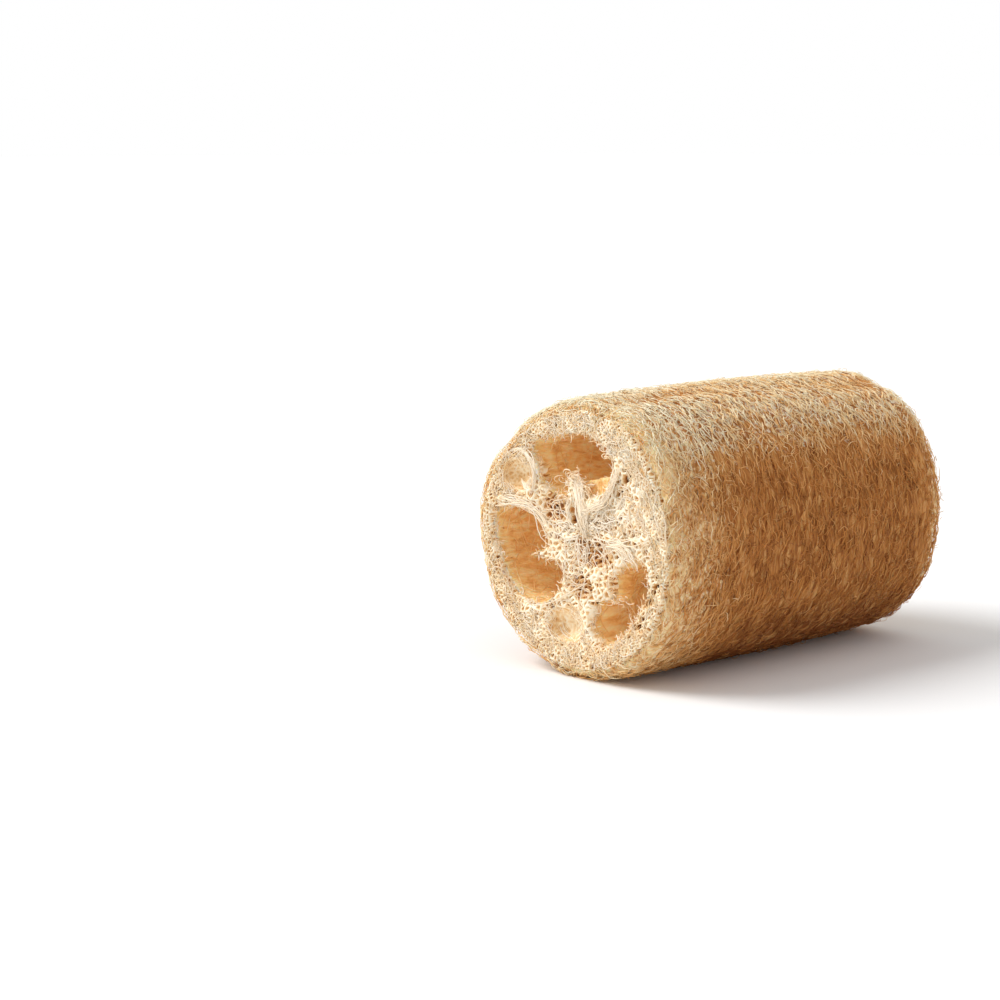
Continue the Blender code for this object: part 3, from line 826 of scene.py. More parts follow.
def mat_material():
    """The mat under the loose fibres: streaks round the body, spongy cut faces, smooth chamber walls, and a
    painted glow on the walls and in part on the cut faces.
    """
    material, tree, shader = new_material("loofah_mat", *MAT_FINISH)
    let_light_in(shader)
    skin = noise_value(tree, *SKIN_NOISE)
    face = noise_value(tree, *FACE_NOISE)
    wall = noise_value(tree, *WALL_NOISE)
    edges = noise_value(tree, *EDGE_NOISE)
    on_face, on_wall, in_web, is_pale = (ragged(tree, zone, edges) for zone in EDGE_SOFTNESS)
    face_colour = ramp_colour(tree, FACE_MAT_STOPS, face)
    wall_colour = ramp_colour(tree, WALL_STOPS, wall)
    cut = mix_node(tree, in_web, face_colour, ramp_colour(tree, WEB_MAT_STOPS, face))
    outside = mix_node(tree, on_face, ramp_colour(tree, SKIN_MAT_STOPS, skin), cut)
    ground = mix_node(tree, on_wall, outside, wall_colour)
    colour = mix_node(tree, is_pale, ground, ramp_colour(tree, PALE_STOPS, face))
    tree.links.new(colour, shader.inputs["Base Color"])
    # Painted light: the chamber walls, and the cut faces at a share, glow with the walls' colour.
    dark = tree.nodes.new("ShaderNodeRGB")
    dark.outputs[0].default_value = (0, 0, 0, 1)
    painted_glow_on_face = math_value(tree, "MULTIPLY", on_face, FACE_PAINTED_GLOW_SHARE)
    painted_glow_share = math_value(tree, "MAXIMUM", painted_glow_on_face, on_wall)
    painted_glow = mix_node(tree, painted_glow_share, dark.outputs[0], wall_colour)
    tree.links.new(painted_glow, shader.inputs["Emission Color"])
    shader.inputs["Emission Strength"].default_value = WALL_PAINTED_GLOW
    height = mix_node(tree, on_wall, mix_node(tree, on_face, skin, face), wall)
    roughen(tree, shader, height, MAT_BUMP)
    return material


def bundle_line(route, points):
    """A bundle's middle line, as x, y and z from the middle of the body's axis."""
    return smooth_route(np.array([(x, depth - HALF, z) for x, depth, z in route]), points)


def bundle_nearness(flat):
    """How near each point is to one of the core's bundles: 1 on it, fading to 0."""
    nearest = np.full(len(flat), 1.0)
    for radius, _, route in BUNDLES:
        for spot in bundle_line(route, MAT_SPOTS):
            nearest = np.minimum(nearest, np.linalg.norm(flat - spot, axis=1) - radius)
    return 1 - clipped_smooth(nearest, *BUNDLE_FADE)


def near_end(outward, zone):
    """How near points are to a cut end, by a zone's metres before it: from 0 where it starts to 1."""
    start, full = zone
    return clipped_smooth(outward, HALF - start, HALF - full)


def pocket_share(flat):
    """How far each point lies in one of the shallow pockets of the cut faces."""
    x, z = flat[:, 0], flat[:, 2]
    share = np.zeros(len(flat))
    for end in POCKETS:
        outward = flat[:, 1] * end
        sunk = 1 - clipped_smooth(outward - np.abs(face_y(x, z, 1)), *POCKET_SUNK)
        at_end = near_end(outward, POCKET_ZONE) * sunk
        share = np.maximum(share, at_end * in_pockets(x, z, end, MAT_POCKET_EDGE))
    return share


def mat_zones(points, normals):
    """How far each point of the mat is cut face, inner web, chamber wall, and pale core, mouth or top. The
    pale top is partly painted light and fades in the furrows as painted shade; the near flank's share of cut
    face is painted light.
    """
    flat = points - AXIS
    outward = np.abs(flat[:, 1])
    angle = np.arctan2(flat[:, 2], flat[:, 0])
    radius = np.hypot(flat[:, 0], flat[:, 2])
    furrow = furrow_depth(angle, flat[:, 1])
    inside = clipped_smooth(RADIUS * section_factor(angle) - furrow - radius, *INSIDE_SKIN)
    cut = near_end(outward, CUT_FACE_ZONE) * clipped_smooth(np.abs(normals[:, 1]), *FACES_END)
    pocket = pocket_share(flat)
    face = np.maximum(cut, near_end(outward, RIM_ZONE) * (1 - inside) * RIM_AS_FACE) * (1 - pocket)
    wall = inside * (1 - cut * (1 - pocket))
    mouth = inside * near_end(outward, MOUTH_ZONE)
    pale = np.maximum(bundle_nearness(flat) * PALE_BUNDLES, mouth * (1 - pocket) * PALE_MOUTHS)
    top = clipped_smooth(normals[:, 2], *FACES_UP) * (1 - inside) * (1 - face)
    # Painted light on top, partly paler fibre, held back in the furrows as painted shade.
    pale = np.maximum(pale, PALE_TOP_AND_PAINTED_LIGHT * top * (1 - furrow / DEEPEST_FURROW))
    # Painted light along the near flank: there the mat takes the cut face's paler colour and part of its
    # painted glow.
    near = (1 - clipped_smooth(flat[:, 1] + HALF, *NEAR_FLANK)) * (1 - inside)
    face = np.maximum(face, NEAR_FLANK_PAINTED_LIGHT * near)
    web = 1 - clipped_smooth(radius, *PAST_MIDDLE)
    return {"face": face, "web": web, "wall": wall, "pale": pale}


def add_mat(node):
    """The body of matted fibre: the solid, remeshed evenly and smoothed, so its net softens to lumps."""
    mat = bpy.data.objects.new("fibre_mat", node.data.copy())
    bpy.context.scene.collection.objects.link(mat)
    remesh = mat.modifiers.new("even", "REMESH")
    remesh.mode = "VOXEL"
    remesh.voxel_size = MAT_VOXEL
    smooth = mat.modifiers.new("soften", "SMOOTH")
    smooth.factor = 0.5
    smooth.iterations = MAT_SMOOTHING
    graph = bpy.context.evaluated_depsgraph_get()
    even = bpy.data.meshes.new_from_object(mat.evaluated_get(graph))
    mat.modifiers.clear()
    mat.data = even
    points = vertex_values(even, "co")
    normals = vertex_values(even, "normal")
    zones = mat_zones(points, normals)
    for name, values in zones.items():
        write_attribute(even, name, values)
    on_skin = (1 - np.minimum(zones["face"], 1)) * (1 - np.minimum(zones["wall"], 1))
    far_rim = near_end(points[:, 1] - AXIS[1], SWELL_ZONE)
    points = points + normals * (MAT_SWELL * on_skin * far_rim)[:, None]
    points[:, 2] = np.maximum(points[:, 2], 0)
    move_vertices(even, points)
    even.shade_smooth()
    even.materials.clear()
    even.materials.append(mat_material())
    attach(mat, "root")
    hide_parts("loofah_sponge")
    return mat


def press_mat(mat, solid):
    """Sinks the mat's cut faces, so that the web's sheet lies clear over them."""
    points = vertex_values(mat.data, "co")
    flat = points - AXIS
    for end, grid in solid.items():
        outward = flat[:, 1] * end
        at_end = outward > HALF - PRESSED_LENGTH
        x, z = flat[at_end, 0], flat[at_end, 2]
        floor = np.minimum(face_y(x, z, 1), outward[at_end]) - MAT_PRESS
        share = clipped_smooth(smooth_at(grid, x, z), *PRESSED_COVER)
        sunk = np.minimum(outward[at_end], floor)
        points[at_end, 1] = end * (outward[at_end] * (1 - share) + sunk * share) + AXIS[1]
    move_vertices(mat.data, points)


def web_holes(rng, end):
    """The web's largest holes at one end: a row along the right chamber, and the named ones."""
    radius, first, last, count = HOLE_ROW
    angle = np.radians(np.linspace(first, last, count)) + rng.normal(0, HOLE_STRAY_ANGLE, count)
    reach = radius + rng.normal(0, HOLE_STRAY, count)
    row = np.stack((
        reach * np.cos(angle), reach * np.sin(angle),
        rng.uniform(*HOLE_HALF_LENGTH, count), rng.uniform(*HOLE_HALF_WIDTH, count),
        np.radians(rng.normal(*HOLE_HEADING, count)),
    ), axis=-1)
    return np.concatenate((NAMED_HOLES, row)) if end < 0 else row


def web_cells(rng, end):
    """Middles and sizes of the web's cells at one end, a little stretched the way that the web fans out."""
    cosine, sine = math.cos(WEB_GRAIN), math.sin(WEB_GRAIN)
    spots = []
    for cell, stretch, inner, outer in WEB_RINGS[end]:
        # The turned grid has to reach past the face's corners (1.5), also where its rows lie closer (1.2).
        reach = math.ceil(RADIUS * 1.5 / cell * stretch * 1.2)
        column, row = np.meshgrid(np.arange(-reach, reach + 1), np.arange(-reach, reach + 1))
        along = (column + 0.5 * (row % 2) + rng.uniform(-0.5, 0.5, row.shape)) * cell * stretch
        across = (row + rng.uniform(-0.5, 0.5, row.shape)) * cell * CELL_ROWS / stretch
        x, z = along * cosine - across * sine, along * sine + across * cosine
        keep = (np.hypot(x, z) >= inner) & (np.hypot(x, z) < outer)
        spots.append(np.stack((x[keep], z[keep], np.full(keep.sum(), cell)), axis=-1))
    return np.concatenate(spots)


def cell_pits(rng, cells, x, z):
    """How far each point lies inside its cell, from 0 on the border to 1, and how open that cell is."""
    tree = KDTree(len(cells))
    for number, (cell_x, cell_z, _) in enumerate(cells):
        tree.insert((cell_x, cell_z, 0), number)
    tree.balance()
    inside = np.empty(len(x))
    owner = np.empty(len(x), int)
    for number, spot in enumerate(zip(x, z)):
        (first, index, near), (second, _, far) = tree.find_n((*spot, 0), 2)
        inside[number] = (far * far - near * near) / (2 * (first - second).length)
        owner[number] = index
    openness = rng.uniform(size=len(cells))
    pit = clipped_smooth(inside / cells[owner, 2], *CELL_WALL)
    return pit, openness[owner]


def membrane_distance(x, z):
    """How far points lie from the middle line of the core's white membrane."""
    spots = smooth_route(np.array(MEMBRANE), SHEET_SPOTS)
    return np.min([np.hypot(x - spot[0], z - spot[2]) for spot in spots], axis=0)


def bundle_relief(x, z):
    """How much the shown end's sheet rises along the core's bundles, from 0 to 1."""
    nearest = np.full(len(x), 1.0)
    for radius, _, route in BUNDLES:
        for spot in smooth_route(np.array(route), SHEET_SPOTS):
            nearest = np.minimum(nearest, np.hypot(x - spot[0], z - spot[2]) / radius)
    return np.exp(-nearest * nearest)


def sheet_grid(solid, end):
    """The sheet's points x and z, how far each is over solid web, and the sheet's faces."""
    line = np.arange(-WEB_REACH, WEB_REACH, WEB_STEP[end])
    x, z = (grid.ravel() for grid in np.meshgrid(line, line))
    cover = smooth_at(solid, x, z)
    used = cover > SHEET_EDGE[0]
    number = np.full(len(x), -1)
    number[used] = np.arange(used.sum())
    number = number.reshape(len(line), len(line))
    corners = (number[:-1, :-1], number[:-1, 1:], number[1:, 1:], number[1:, :-1])
    faces = np.stack(corners, axis=-1).reshape(-1, 4)
    faces = faces[(faces >= 0).all(axis=1)]
    return x[used], z[used], cover[used], faces if end < 0 else faces[:, ::-1]


def sheet_features(rng, end, holes, x, z):
    """What lies at each point of a cut end's sheet, each as a share from 0 to 1."""
    pit, openness = cell_pits(rng, web_cells(rng, end), x, z)
    bed = in_beds(x, z, end)
    pocket = in_pockets(x, z, end)
    along_grain = x * math.cos(WEB_GRAIN) + z * math.sin(WEB_GRAIN)
    fan = clipped_smooth(along_grain, *FAN_EDGE) if end < 0 else 0 * x
    return SimpleNamespace(
        pit=pit * (1 - POCKET_CALM * pocket), openness=openness, bed=bed, pocket=pocket, fan=fan,
        deep=clipped_smooth(openness + BED_OPENS * bed + FAN_OPENS * fan, *OPEN_CELLS) * (1 - pocket),
        hole=hole_share(holes, x, z), relief=bundle_relief(x, z) if end < 0 else np.zeros(len(x)),
    )


def sheet_sink(at, x, z, cover, floor):
    """How deep the sheet lies in the cut face: its cells, holes and beds, less its waves and bundles."""
    swell = BROAD_WAVE * np.sin(x * BROAD_WAVES[0] + 2) * np.sin(z * BROAD_WAVES[1] + 1)
    swell += FINE_WAVE * np.sin(x * FINE_WAVES[0] + z * FINE_WAVES[1])
    sink = SHEET_FALL * (1 - clipped_smooth(cover, *SHEET_EDGE)) - WEB_PROUD - swell
    cell = CELL_DEPTH + OPENER_CELL_DEPTH * at.openness + DEEP_CELL_DEPTH * at.deep
    sink += at.pit * cell * (1 - BUNDLE_FLATTENS * at.relief) * (1 - at.hole)
    sink += HOLE_DEPTH * at.hole + BED_DEPTH * at.bed - BUNDLE_RISE * at.relief
    return sink + np.maximum(floor - FLOOR_SLACK, 0) * (FLOOR_SHARE + (1 - FLOOR_SHARE) * at.pocket)


def sheet_shade(at, x, z, cover, end):
    """How brown the sheet is, from 0 for cream to 1 in the depth of a cell or hole, where the brown is partly
    the deeper fibre's colour and partly painted shade.
    """
    tone = SHEET_TONES
    deep = (tone["deep_cell"] - tone["fan_cell"] * at.fan) * at.deep
    shade = at.pit * (tone["cell"] + tone["opener_cell"] * at.openness + deep)
    shade = shade + tone["bed"] * at.bed - tone["bundle"] * at.relief
    membrane = np.exp(-(membrane_distance(x, z) / MEMBRANE_HALF_WIDTH) ** 4) * (end < 0)
    shade += tone["pocket"] * at.pocket - tone["fan"] * at.fan - tone["membrane"] * membrane
    shade += tone["outer"] * clipped_smooth(np.hypot(x, z), *OUTER_WEB)
    middle, width = MOUTH_COVER
    shade -= tone["mouth"] * np.exp(-((cover - middle) / width) ** 2)
    # Holes take at least their share as tone: painted shade in their depth.
    return np.clip(np.maximum(shade, at.hole), 0, 1)


def add_web_sheet(rng, end, depths, solid, holes, material):
    """The spongy web of a cut end: a fine sheet of small cells, most shallow and some open to the dark."""
    x, z, cover, faces = sheet_grid(solid, end)
    at = sheet_features(rng, end, holes, x, z)
    floor = smooth_at(blurred(depths, 2), x, z)
    mesh = bpy.data.meshes.new("web_sheet")
    mesh.from_pydata(face_paths(x, z, sheet_sink(at, x, z, cover, floor), end), [], faces)
    write_attribute(mesh, "pit", sheet_shade(at, x, z, cover, end))
    mesh.shade_smooth()
    add_piece("web_sheet_shown" if end < 0 else "web_sheet_far", mesh, material)


def headings(rng, count, points, tilt, spread, curl):
    """Directions along wandering strands, as angles from the direction round the body."""
    share = np.linspace(-0.5, 0.5, points)
    start = rng.normal(tilt, spread, count)
    bend = rng.normal(0, curl, count)
    wave = rng.normal(0, curl * WAVE_SHARE, count)
    phase = rng.uniform(0, math.tau, count)
    wobble = wave[:, None] * np.sin(phase[:, None] + share * STRAND_WAVES)
    return start[:, None] + bend[:, None] * share + wobble


def walked(directions, lengths):
    """Steps summed along each strand, centred on its middle."""
    points = directions.shape[1]
    step = lengths[:, None] / (points - 1)
    across = np.cumsum(np.cos(directions) * step, axis=1)
    along = np.cumsum(np.sin(directions) * step, axis=1)
    middle = points // 2
    return across - across[:, middle:middle + 1], along - along[:, middle:middle + 1]


def over_solid(paths, depths):
    """Which strands stay over solid web at the cut faces, and don't hang across a mouth."""
    flat = paths - AXIS
    keep = np.ones(len(paths), bool)
    within = np.hypot(flat[:, :, 0], flat[:, :, 2]) < RADIUS - WEB_MARGIN
    for end, grid in depths.items():
        at_end = within & (flat[:, :, 1] * end > HALF - WEB_END)
        hanging = at_end & (depth_at(grid, flat[:, :, 0], flat[:, :, 2]) > MOUTH_DEPTH)
        keep &= ~hanging.any(axis=1)
    return keep


def skin_paleness_and_painted_light(run, angle, facing_up):
    """How much paler each of the skin's fibres is by where it lies: its own colour near the rims, painted
    light along the near flank and partly on top, painted shade underneath and in the furrows.
    """
    paler = NEAR_RIM_PALER * (1 - clipped_smooth(run, *NEAR_RIM_RUN))
    paler += FAR_RIM_PALER * clipped_smooth(run, *FAR_RIM_RUN)
    paler += FLANK_PAINTED_LIGHT * (1 - clipped_smooth(run, *FLANK_RUN))
    paler -= UNDER_PAINTED_SHADE * clipped_smooth(-facing_up, *UNDER_FACING) * clipped_smooth(run, *UNDER_RUN)
    paler -= FURROW_PAINTED_SHADE * furrow_depth(angle, run - HALF) / DEEPEST_FURROW
    paler += TOP_PALER_AND_PAINTED_LIGHT * clipped_smooth(facing_up, *TOP_FACING)
    return paler


def skin_strands(rng, depths, lengths, radii, heights, spread):
    """Fibres that lie on the skin and run mostly round it, from cut face to cut face."""
    count = SKIN_STRANDS
    angle = rng.uniform(0, math.tau, count)
    angle += TOP_DENSITY * np.cos(angle)
    run = rng.uniform(-FACE_RING, SIDE_LENGTH + FACE_RING, count)
    length = rng.uniform(*lengths, count) * (1 - SHORTER_ON_TOP * np.maximum(np.sin(angle), 0))
    across, along = walked(headings(rng, count, SKIN_POINTS, SKIN_TILT, spread, SKIN_CURL), length)
    runs = run[:, None] + along
    angles = angle[:, None] + across / profile(run)[1][:, None]
    normals = skin_normals(angles, runs)
    share = np.linspace(0, 1, SKIN_POINTS)
    base = rng.uniform(*heights, count)[:, None]
    arch = rng.uniform(*SKIN_ARCH, count)[:, None] * np.sin(math.pi * share)
    paths = skin_points(angles, runs) + normals * (base + arch)[:, :, None]
    radius = taper(rng.uniform(*radii, count), SKIN_POINTS, 0.45)
    paths[:, :, 2] = np.maximum(paths[:, :, 2], radius)
    paler = skin_paleness_and_painted_light(run, angle, normals[:, SKIN_POINTS // 2, 2])
    least, in_pale = TONE_SPREAD
    # Fibres lying deeper in the mat are darker: painted shade.
    shades = SKIN_TONE + paler + base[:, 0] * DEPTH_PAINTED_SHADE_PER_METRE
    shades = shades + rng.normal(0, 1, count) * (least + in_pale * paler)
    keep = over_solid(paths, depths)
    return paths[keep], radius[keep], normals[keep], np.clip(shades[keep], 0.03, 1)


def flyaway_hairs(rng):
    """Fine hairs that stand a little off the skin and soften its outline."""
    count, points = HAIRS["count"], HAIRS["points"]
    angle = rng.uniform(0, math.tau, count)
    run = rng.uniform(0, SIDE_LENGTH, count)
    ways = headings(rng, count, points, HAIRS["tilt"], HAIRS["spread"], HAIRS["curl"])
    across, along = walked(ways, rng.uniform(*HAIRS["length"], count))
    runs = run[:, None] + along
    angles = angle[:, None] + across / RADIUS
    normals = skin_normals(angles, runs)
    share = np.linspace(0, 1, points)
    lift = rng.uniform(*HAIRS["lift"], count)[:, None] * np.sin(math.pi * share * HAIRS["rise"])
    paths = skin_points(angles, runs) + normals * lift[:, :, None]
    radii = taper(rng.uniform(*HAIRS["radius"], count), points, 0.4)
    paths[:, :, 2] = np.maximum(paths[:, :, 2], radii)
    # Hairs facing up are paler, partly their own colour and partly painted light.
    shades = HAIRS["tone"] + HAIRS["top_pale_and_painted_light"] * np.maximum(normals[:, points // 2, 2], 0)
    shades = np.clip(shades + rng.normal(0, HAIRS["tone_spread"], count), 0.2, 1)
    return paths, radii, normals, shades


def scattered(rng, count, area):
    """Radius and angle of random spots of a cut face. The area's limits are shares of the whole face's."""
    return RADIUS * np.sqrt(rng.uniform(*area, count)), rng.uniform(0, math.tau, count)


def torn_strands(rng, solid, end):
    """Short torn strands that reach a little way over the edges of the mouths."""
    radius, angle = scattered(rng, TORN["tries"], TORN["area"])
    x, z = radius * np.cos(angle), radius * np.sin(angle)
    cover = smooth_at(solid, x, z)
    step = TORN["slope_step"]
    slope_x = smooth_at(solid, x + step, z) - smooth_at(solid, x - step, z)
    slope_z = smooth_at(solid, x, z + step) - smooth_at(solid, x, z - step)
    least, most = TORN["cover"]
    keep = (cover > least) & (cover < most) & (np.hypot(x, z) < WEB_RADIUS[end] - TORN["rim"])
    x, z, outward = x[keep], z[keep], np.arctan2(-slope_z[keep], -slope_x[keep])
    count, points = len(x), TORN["points"]
    ways = outward[:, None] + headings(rng, count, points, 0, TORN["spread"], TORN["curl"])
    step = rng.uniform(*TORN["length"], count)[:, None] / (points - 1)
    x = x[:, None] + np.cumsum(np.cos(ways) * step, axis=1) - np.cos(ways[:, :1]) * TORN["back"]
    z = z[:, None] + np.cumsum(np.sin(ways) * step, axis=1) - np.sin(ways[:, :1]) * TORN["back"]
    sink = rng.uniform(*TORN["sink"], count)[:, None]
    sink = sink + rng.normal(0, TORN["droop"], count)[:, None] * np.arange(points) / (points - 1)
    paths = face_paths(x, z, sink, end)
    radii = rng.uniform(*TORN["radius"], count)[:, None] * np.linspace(*TORN["thinning"], points)
    return paths, radii, face_ups(paths, end), rng.uniform(*TORN["shade"], count)


def loose_face_strands(rng, grid, holes, end):
    """Long fine fibres that wander over a cut face."""
    count, points = LOOSE["count"][end], LOOSE["points"]
    radius, angle = scattered(rng, count, LOOSE["area"])
    length = rng.uniform(*LOOSE["length"], count)
    ways = headings(rng, count, points, 0, LOOSE["spread"], LOOSE["curl"]) + angle[:, None] + math.pi / 2
    across, along = walked(ways, length)
    x = (radius * np.cos(angle))[:, None] + across
    z = (radius * np.sin(angle))[:, None] + along
    keep = (depth_at(grid, x, z) < MOUTH_DEPTH).mean(axis=1) > LOOSE["over_web"]
    keep &= (np.hypot(x, z) < RADIUS - RIM_MARGIN).all(axis=1)
    keep &= (hole_share(holes, x, z) < HOLE_KEPT_CLEAR).all(axis=1)
    keep &= in_beds(x, z, end).max(axis=1) < rng.uniform(*LOOSE["bed_share"], count)
    keep &= (radius > LOOSE["middle"]) | (rng.uniform(size=count) < LOOSE["middle_share"])
    x, z = x[keep], z[keep]
    count = len(x)
    sink = rng.uniform(*LOOSE["sink"], count)[:, None] * np.ones(points)
    paths = face_paths(x, z, sink, end)
    radii = taper(rng.uniform(*LOOSE["radius"], count), points, 0.5)
    shades = np.clip(rng.normal(*LOOSE["shade"], count), 0.3, 1)
    return paths, radii, face_ups(paths, end), shades


def core_rays(rng, depths, end, count, middle, spread, gap):
    """Fibres that fan out from the core, from a gap off it, and thin towards the mat."""
    points = RAYS["points"]
    heading = rng.normal(middle, spread, count)
    ways = np.stack((np.cos(heading), np.sin(heading)), axis=-1)
    start = np.array(CORE) + ways * rng.uniform(0, gap, (count, 1)) + rng.normal(0, RAYS["stray"], (count, 2))
    directions = heading[:, None] + headings(rng, count, points, 0, RAYS["spread"], RAYS["curl"])
    step = rng.uniform(*RAYS["length"], count)[:, None] / (points - 1)
    x = start[:, :1] + np.cumsum(np.cos(directions) * step, axis=1)
    z = start[:, 1:] + np.cumsum(np.sin(directions) * step, axis=1)
    keep = (depth_at(depths[end], x, z) < MOUTH_DEPTH).mean(axis=1) > RAYS["over_web"]
    keep &= (np.hypot(x, z) < RADIUS - RIM_MARGIN).all(axis=1)
    x, z = x[keep], z[keep]
    count = len(x)
    thinner = 1 - RAYS["thinning"] * np.linspace(0, 1, points)
    paths = face_paths(x, z, rng.uniform(*RAYS["sink"], count)[:, None] * thinner, end)
    radii = rng.uniform(*RAYS["radius"], count)[:, None] * thinner
    shades = np.clip(rng.normal(*RAYS["shade"], count), 0.6, 1)
    return paths, radii, face_ups(paths, end), shades


def bundle_fibre(rng, radius, middle):
    """One fibre's path along part of a bundle's middle line, wandering over the bundle."""
    share = np.linspace(0, 1, ROPE_POINTS)
    along = np.linspace(0, 1, len(middle))
    part = rng.uniform(*BUNDLE_PART)
    at = rng.uniform(0, 1 - part) + part * share
    path = np.stack([np.interp(at, along, middle[:, axis]) for axis in range(3)], axis=-1)
    turn = rng.uniform(0, math.tau) + share * rng.uniform(*BUNDLE_TWIST)
    away = radius * rng.uniform(*BUNDLE_AWAY) * (1 + rng.uniform(*BUNDLE_DRIFT) * (share - 0.5))
    ring = np.stack((np.cos(turn), BUNDLE_FLATNESS * np.sin(turn), np.sin(turn)), axis=-1)
    offset = ring * away[:, None]
    sway = radius * rng.normal(0, BUNDLE_SWAY, 2).clip(-1, 1)[:, None]
    sway = sway * np.sin(share * rng.uniform(*BUNDLE_WAVES) + turn[0])
    offset[:, 0] += sway[0]
    offset[:, 2] += sway[1]
    offset[:, 1] -= BUNDLE_LIFT * radius
    return path + offset + AXIS


def bundle_strands(rng):
    """The core's bundles: fine fibres that run along each route for part of its length and wander over it."""
    share = np.linspace(0, 1, ROPE_POINTS)
    paths, radii, shades = [], [], []
    for radius, fibres, route in BUNDLES:
        middle = bundle_line(route, 4 * ROPE_POINTS)
        depth = BUNDLE_DEPTH_SHARE * (middle[:, 1] + HALF)
        middle[:, 1] = face_y(middle[:, 0], middle[:, 2], -1) - BUNDLE_PROUD + depth
        for _ in range(fibres):
            paths.append(bundle_fibre(rng, radius, middle))
            radii.append(rng.uniform(*BUNDLE_THICKNESS) * (0.5 + 0.6 * np.sin(math.pi * share)))
            shades.append(rng.uniform(*BUNDLE_SHADE))
    paths = np.array(paths)
    return paths, np.array(radii), face_ups(paths, -1), np.array(shades)


def curls(rng, count, centre, spread, reaches, turns, thickness, depths):
    """Curled fibres round a spot of the shown cut face: each is part of a small uneven ring."""
    share = np.linspace(0, 1, ROPE_POINTS)
    turn = rng.uniform(0, math.tau, count)[:, None] + rng.uniform(*turns, count)[:, None] * share
    reach = rng.uniform(*reaches, count)[:, None] * (1 + 0.2 * np.sin(2 * turn + 1))
    x = centre[0] + rng.normal(0, spread[0], count)[:, None] + 1.2 * reach * np.cos(turn)
    z = centre[1] + rng.normal(0, spread[1], count)[:, None] + 0.85 * reach * np.sin(turn)
    sink = rng.uniform(*depths, count)[:, None] + 0.0004 * np.sin(turn * 1.5)
    paths = face_paths(x, z, sink, -1)
    radii = taper(rng.uniform(*thickness, count), ROPE_POINTS, 0.5)
    return paths, radii, face_ups(paths, -1), rng.uniform(*CURL_SHADE, count)


def pocket_swirls(rng, depths):
    """Curled fibres that lie round the shallow pockets of both ends."""
    share = np.linspace(0, 1, ROPE_POINTS)
    paths, ups = [], []
    for end, pockets in POCKETS.items():
        for middle_x, middle_z, half_width, half_height in pockets:
            for _ in range(SWIRLS["per_pocket"]):
                turn = rng.uniform(0, math.tau) + share * rng.uniform(*SWIRLS["turn"])
                reach = rng.uniform(*SWIRLS["reach"]) * (1 + rng.uniform(*SWIRLS["drift"]) * (share - 0.5))
                x = middle_x + half_width * reach * np.cos(turn)
                z = middle_z + half_height * reach * np.sin(turn)
                floor = np.clip(depth_at(depths[end], x, z), 0, SWIRLS["deepest"])
                sink = np.convolve(np.pad(floor, 2, "edge"), np.full(5, 0.2), "valid") - SWIRLS["proud"]
                path = face_paths(x, z, sink, end)
                paths.append(path)
                ups.append(face_ups(path[None], end)[0])
    paths, ups = np.array(paths), np.array(ups)
    radii = taper(rng.uniform(*SWIRLS["radius"], len(paths)), ROPE_POINTS, 0.5)
    return paths, radii, ups, rng.uniform(*SWIRLS["shade"], len(paths))


def veil_strands(rng):
    """Fine fibres that hang like a veil in the right chamber's mouth, from its lobe down."""
    count = VEIL["count"]
    share = np.linspace(0, 1, ROPE_POINTS)
    start = rng.uniform(*VEIL["start"], count)[:, None]
    drop = rng.uniform(*VEIL["drop"], count)[:, None]
    sway = rng.normal(0, VEIL["sway"], count)[:, None]
    sway = sway * np.sin(rng.uniform(*VEIL["waves"], count)[:, None] * share)
    x = start + rng.normal(*VEIL["drift"], count)[:, None] * share + sway
    z = rng.normal(*VEIL["top"], count)[:, None] - drop * share
    sink = rng.uniform(*VEIL["sink"], count)[:, None] + VEIL["bow"] * np.sin(share * 2.5)
    paths = face_paths(x, z, sink, -1)
    radii = taper(rng.uniform(*VEIL["radius"], count), ROPE_POINTS, 0.4)
    return paths, radii, face_ups(paths, -1), rng.uniform(*VEIL["shade"], count)


def chamber_middle(y, x, z):
    """Where a chamber's middle line lies at y, from its middle x and z at the shown end."""
    twist = CHAMBER_TWIST * (y + HALF) / LENGTH
    cosine, sine = math.cos(twist), math.sin(twist)
    return Vector((x * cosine - z * sine, y, x * sine + z * cosine))


def wall_path(rng, tree, chamber):
    """One fibre on a chamber's wall: its points and the ways off the wall, as far as the wall goes."""
    pitch = rng.normal(0, WALL_FIBRES["pitch"])
    span = rng.uniform(*WALL_FIBRES["length"])
    length = span * math.cos(pitch)
    start = rng.uniform(-HALF, HALF - abs(length))
    turn = rng.uniform(0, math.tau)
    drift = span * math.sin(pitch) / CHAMBER_REACH
    path, up = [], []
    for share in np.linspace(0, 1, WALL_FIBRES["points"]):
        middle = chamber_middle(start + length * share, *chamber)
        way = Vector((math.cos(turn + drift * share), 0, math.sin(turn + drift * share)))
        hit = tree.ray_cast(middle + Vector(AXIS), way)[0]
        if hit is None or (hit - Vector(AXIS) - middle).length > CHAMBER_LIMIT:
            break
        path.append(hit - way * WALL_FIBRES["proud"])
        up.append(-way)
    return path, up


def chamber_strands(rng, tree):
    """Fine fibres that lie on the chamber walls, most of them nearly lengthwise."""
    points = WALL_FIBRES["points"]
    paths, ups = [], []
    for chamber in CHAMBER_MIDDLES:
        for _ in range(WALL_FIBRES["per_chamber"]):
            path, up = wall_path(rng, tree, chamber)
            if len(path) == points:
                paths.append(path)
                ups.append(up)
    paths, ups = np.array(paths), np.array(ups)
    radii = taper(rng.uniform(*WALL_FIBRES["radius"], len(paths)), points, 0.4)
    shades = np.clip(rng.normal(*WALL_FIBRES["shade"], len(paths)), 0, 1)
    return paths, radii, ups, shades


def joined(groups):
    """Several groups of strands as one, where all have as many points."""
    return [np.concatenate(parts) for parts in zip(*groups)]


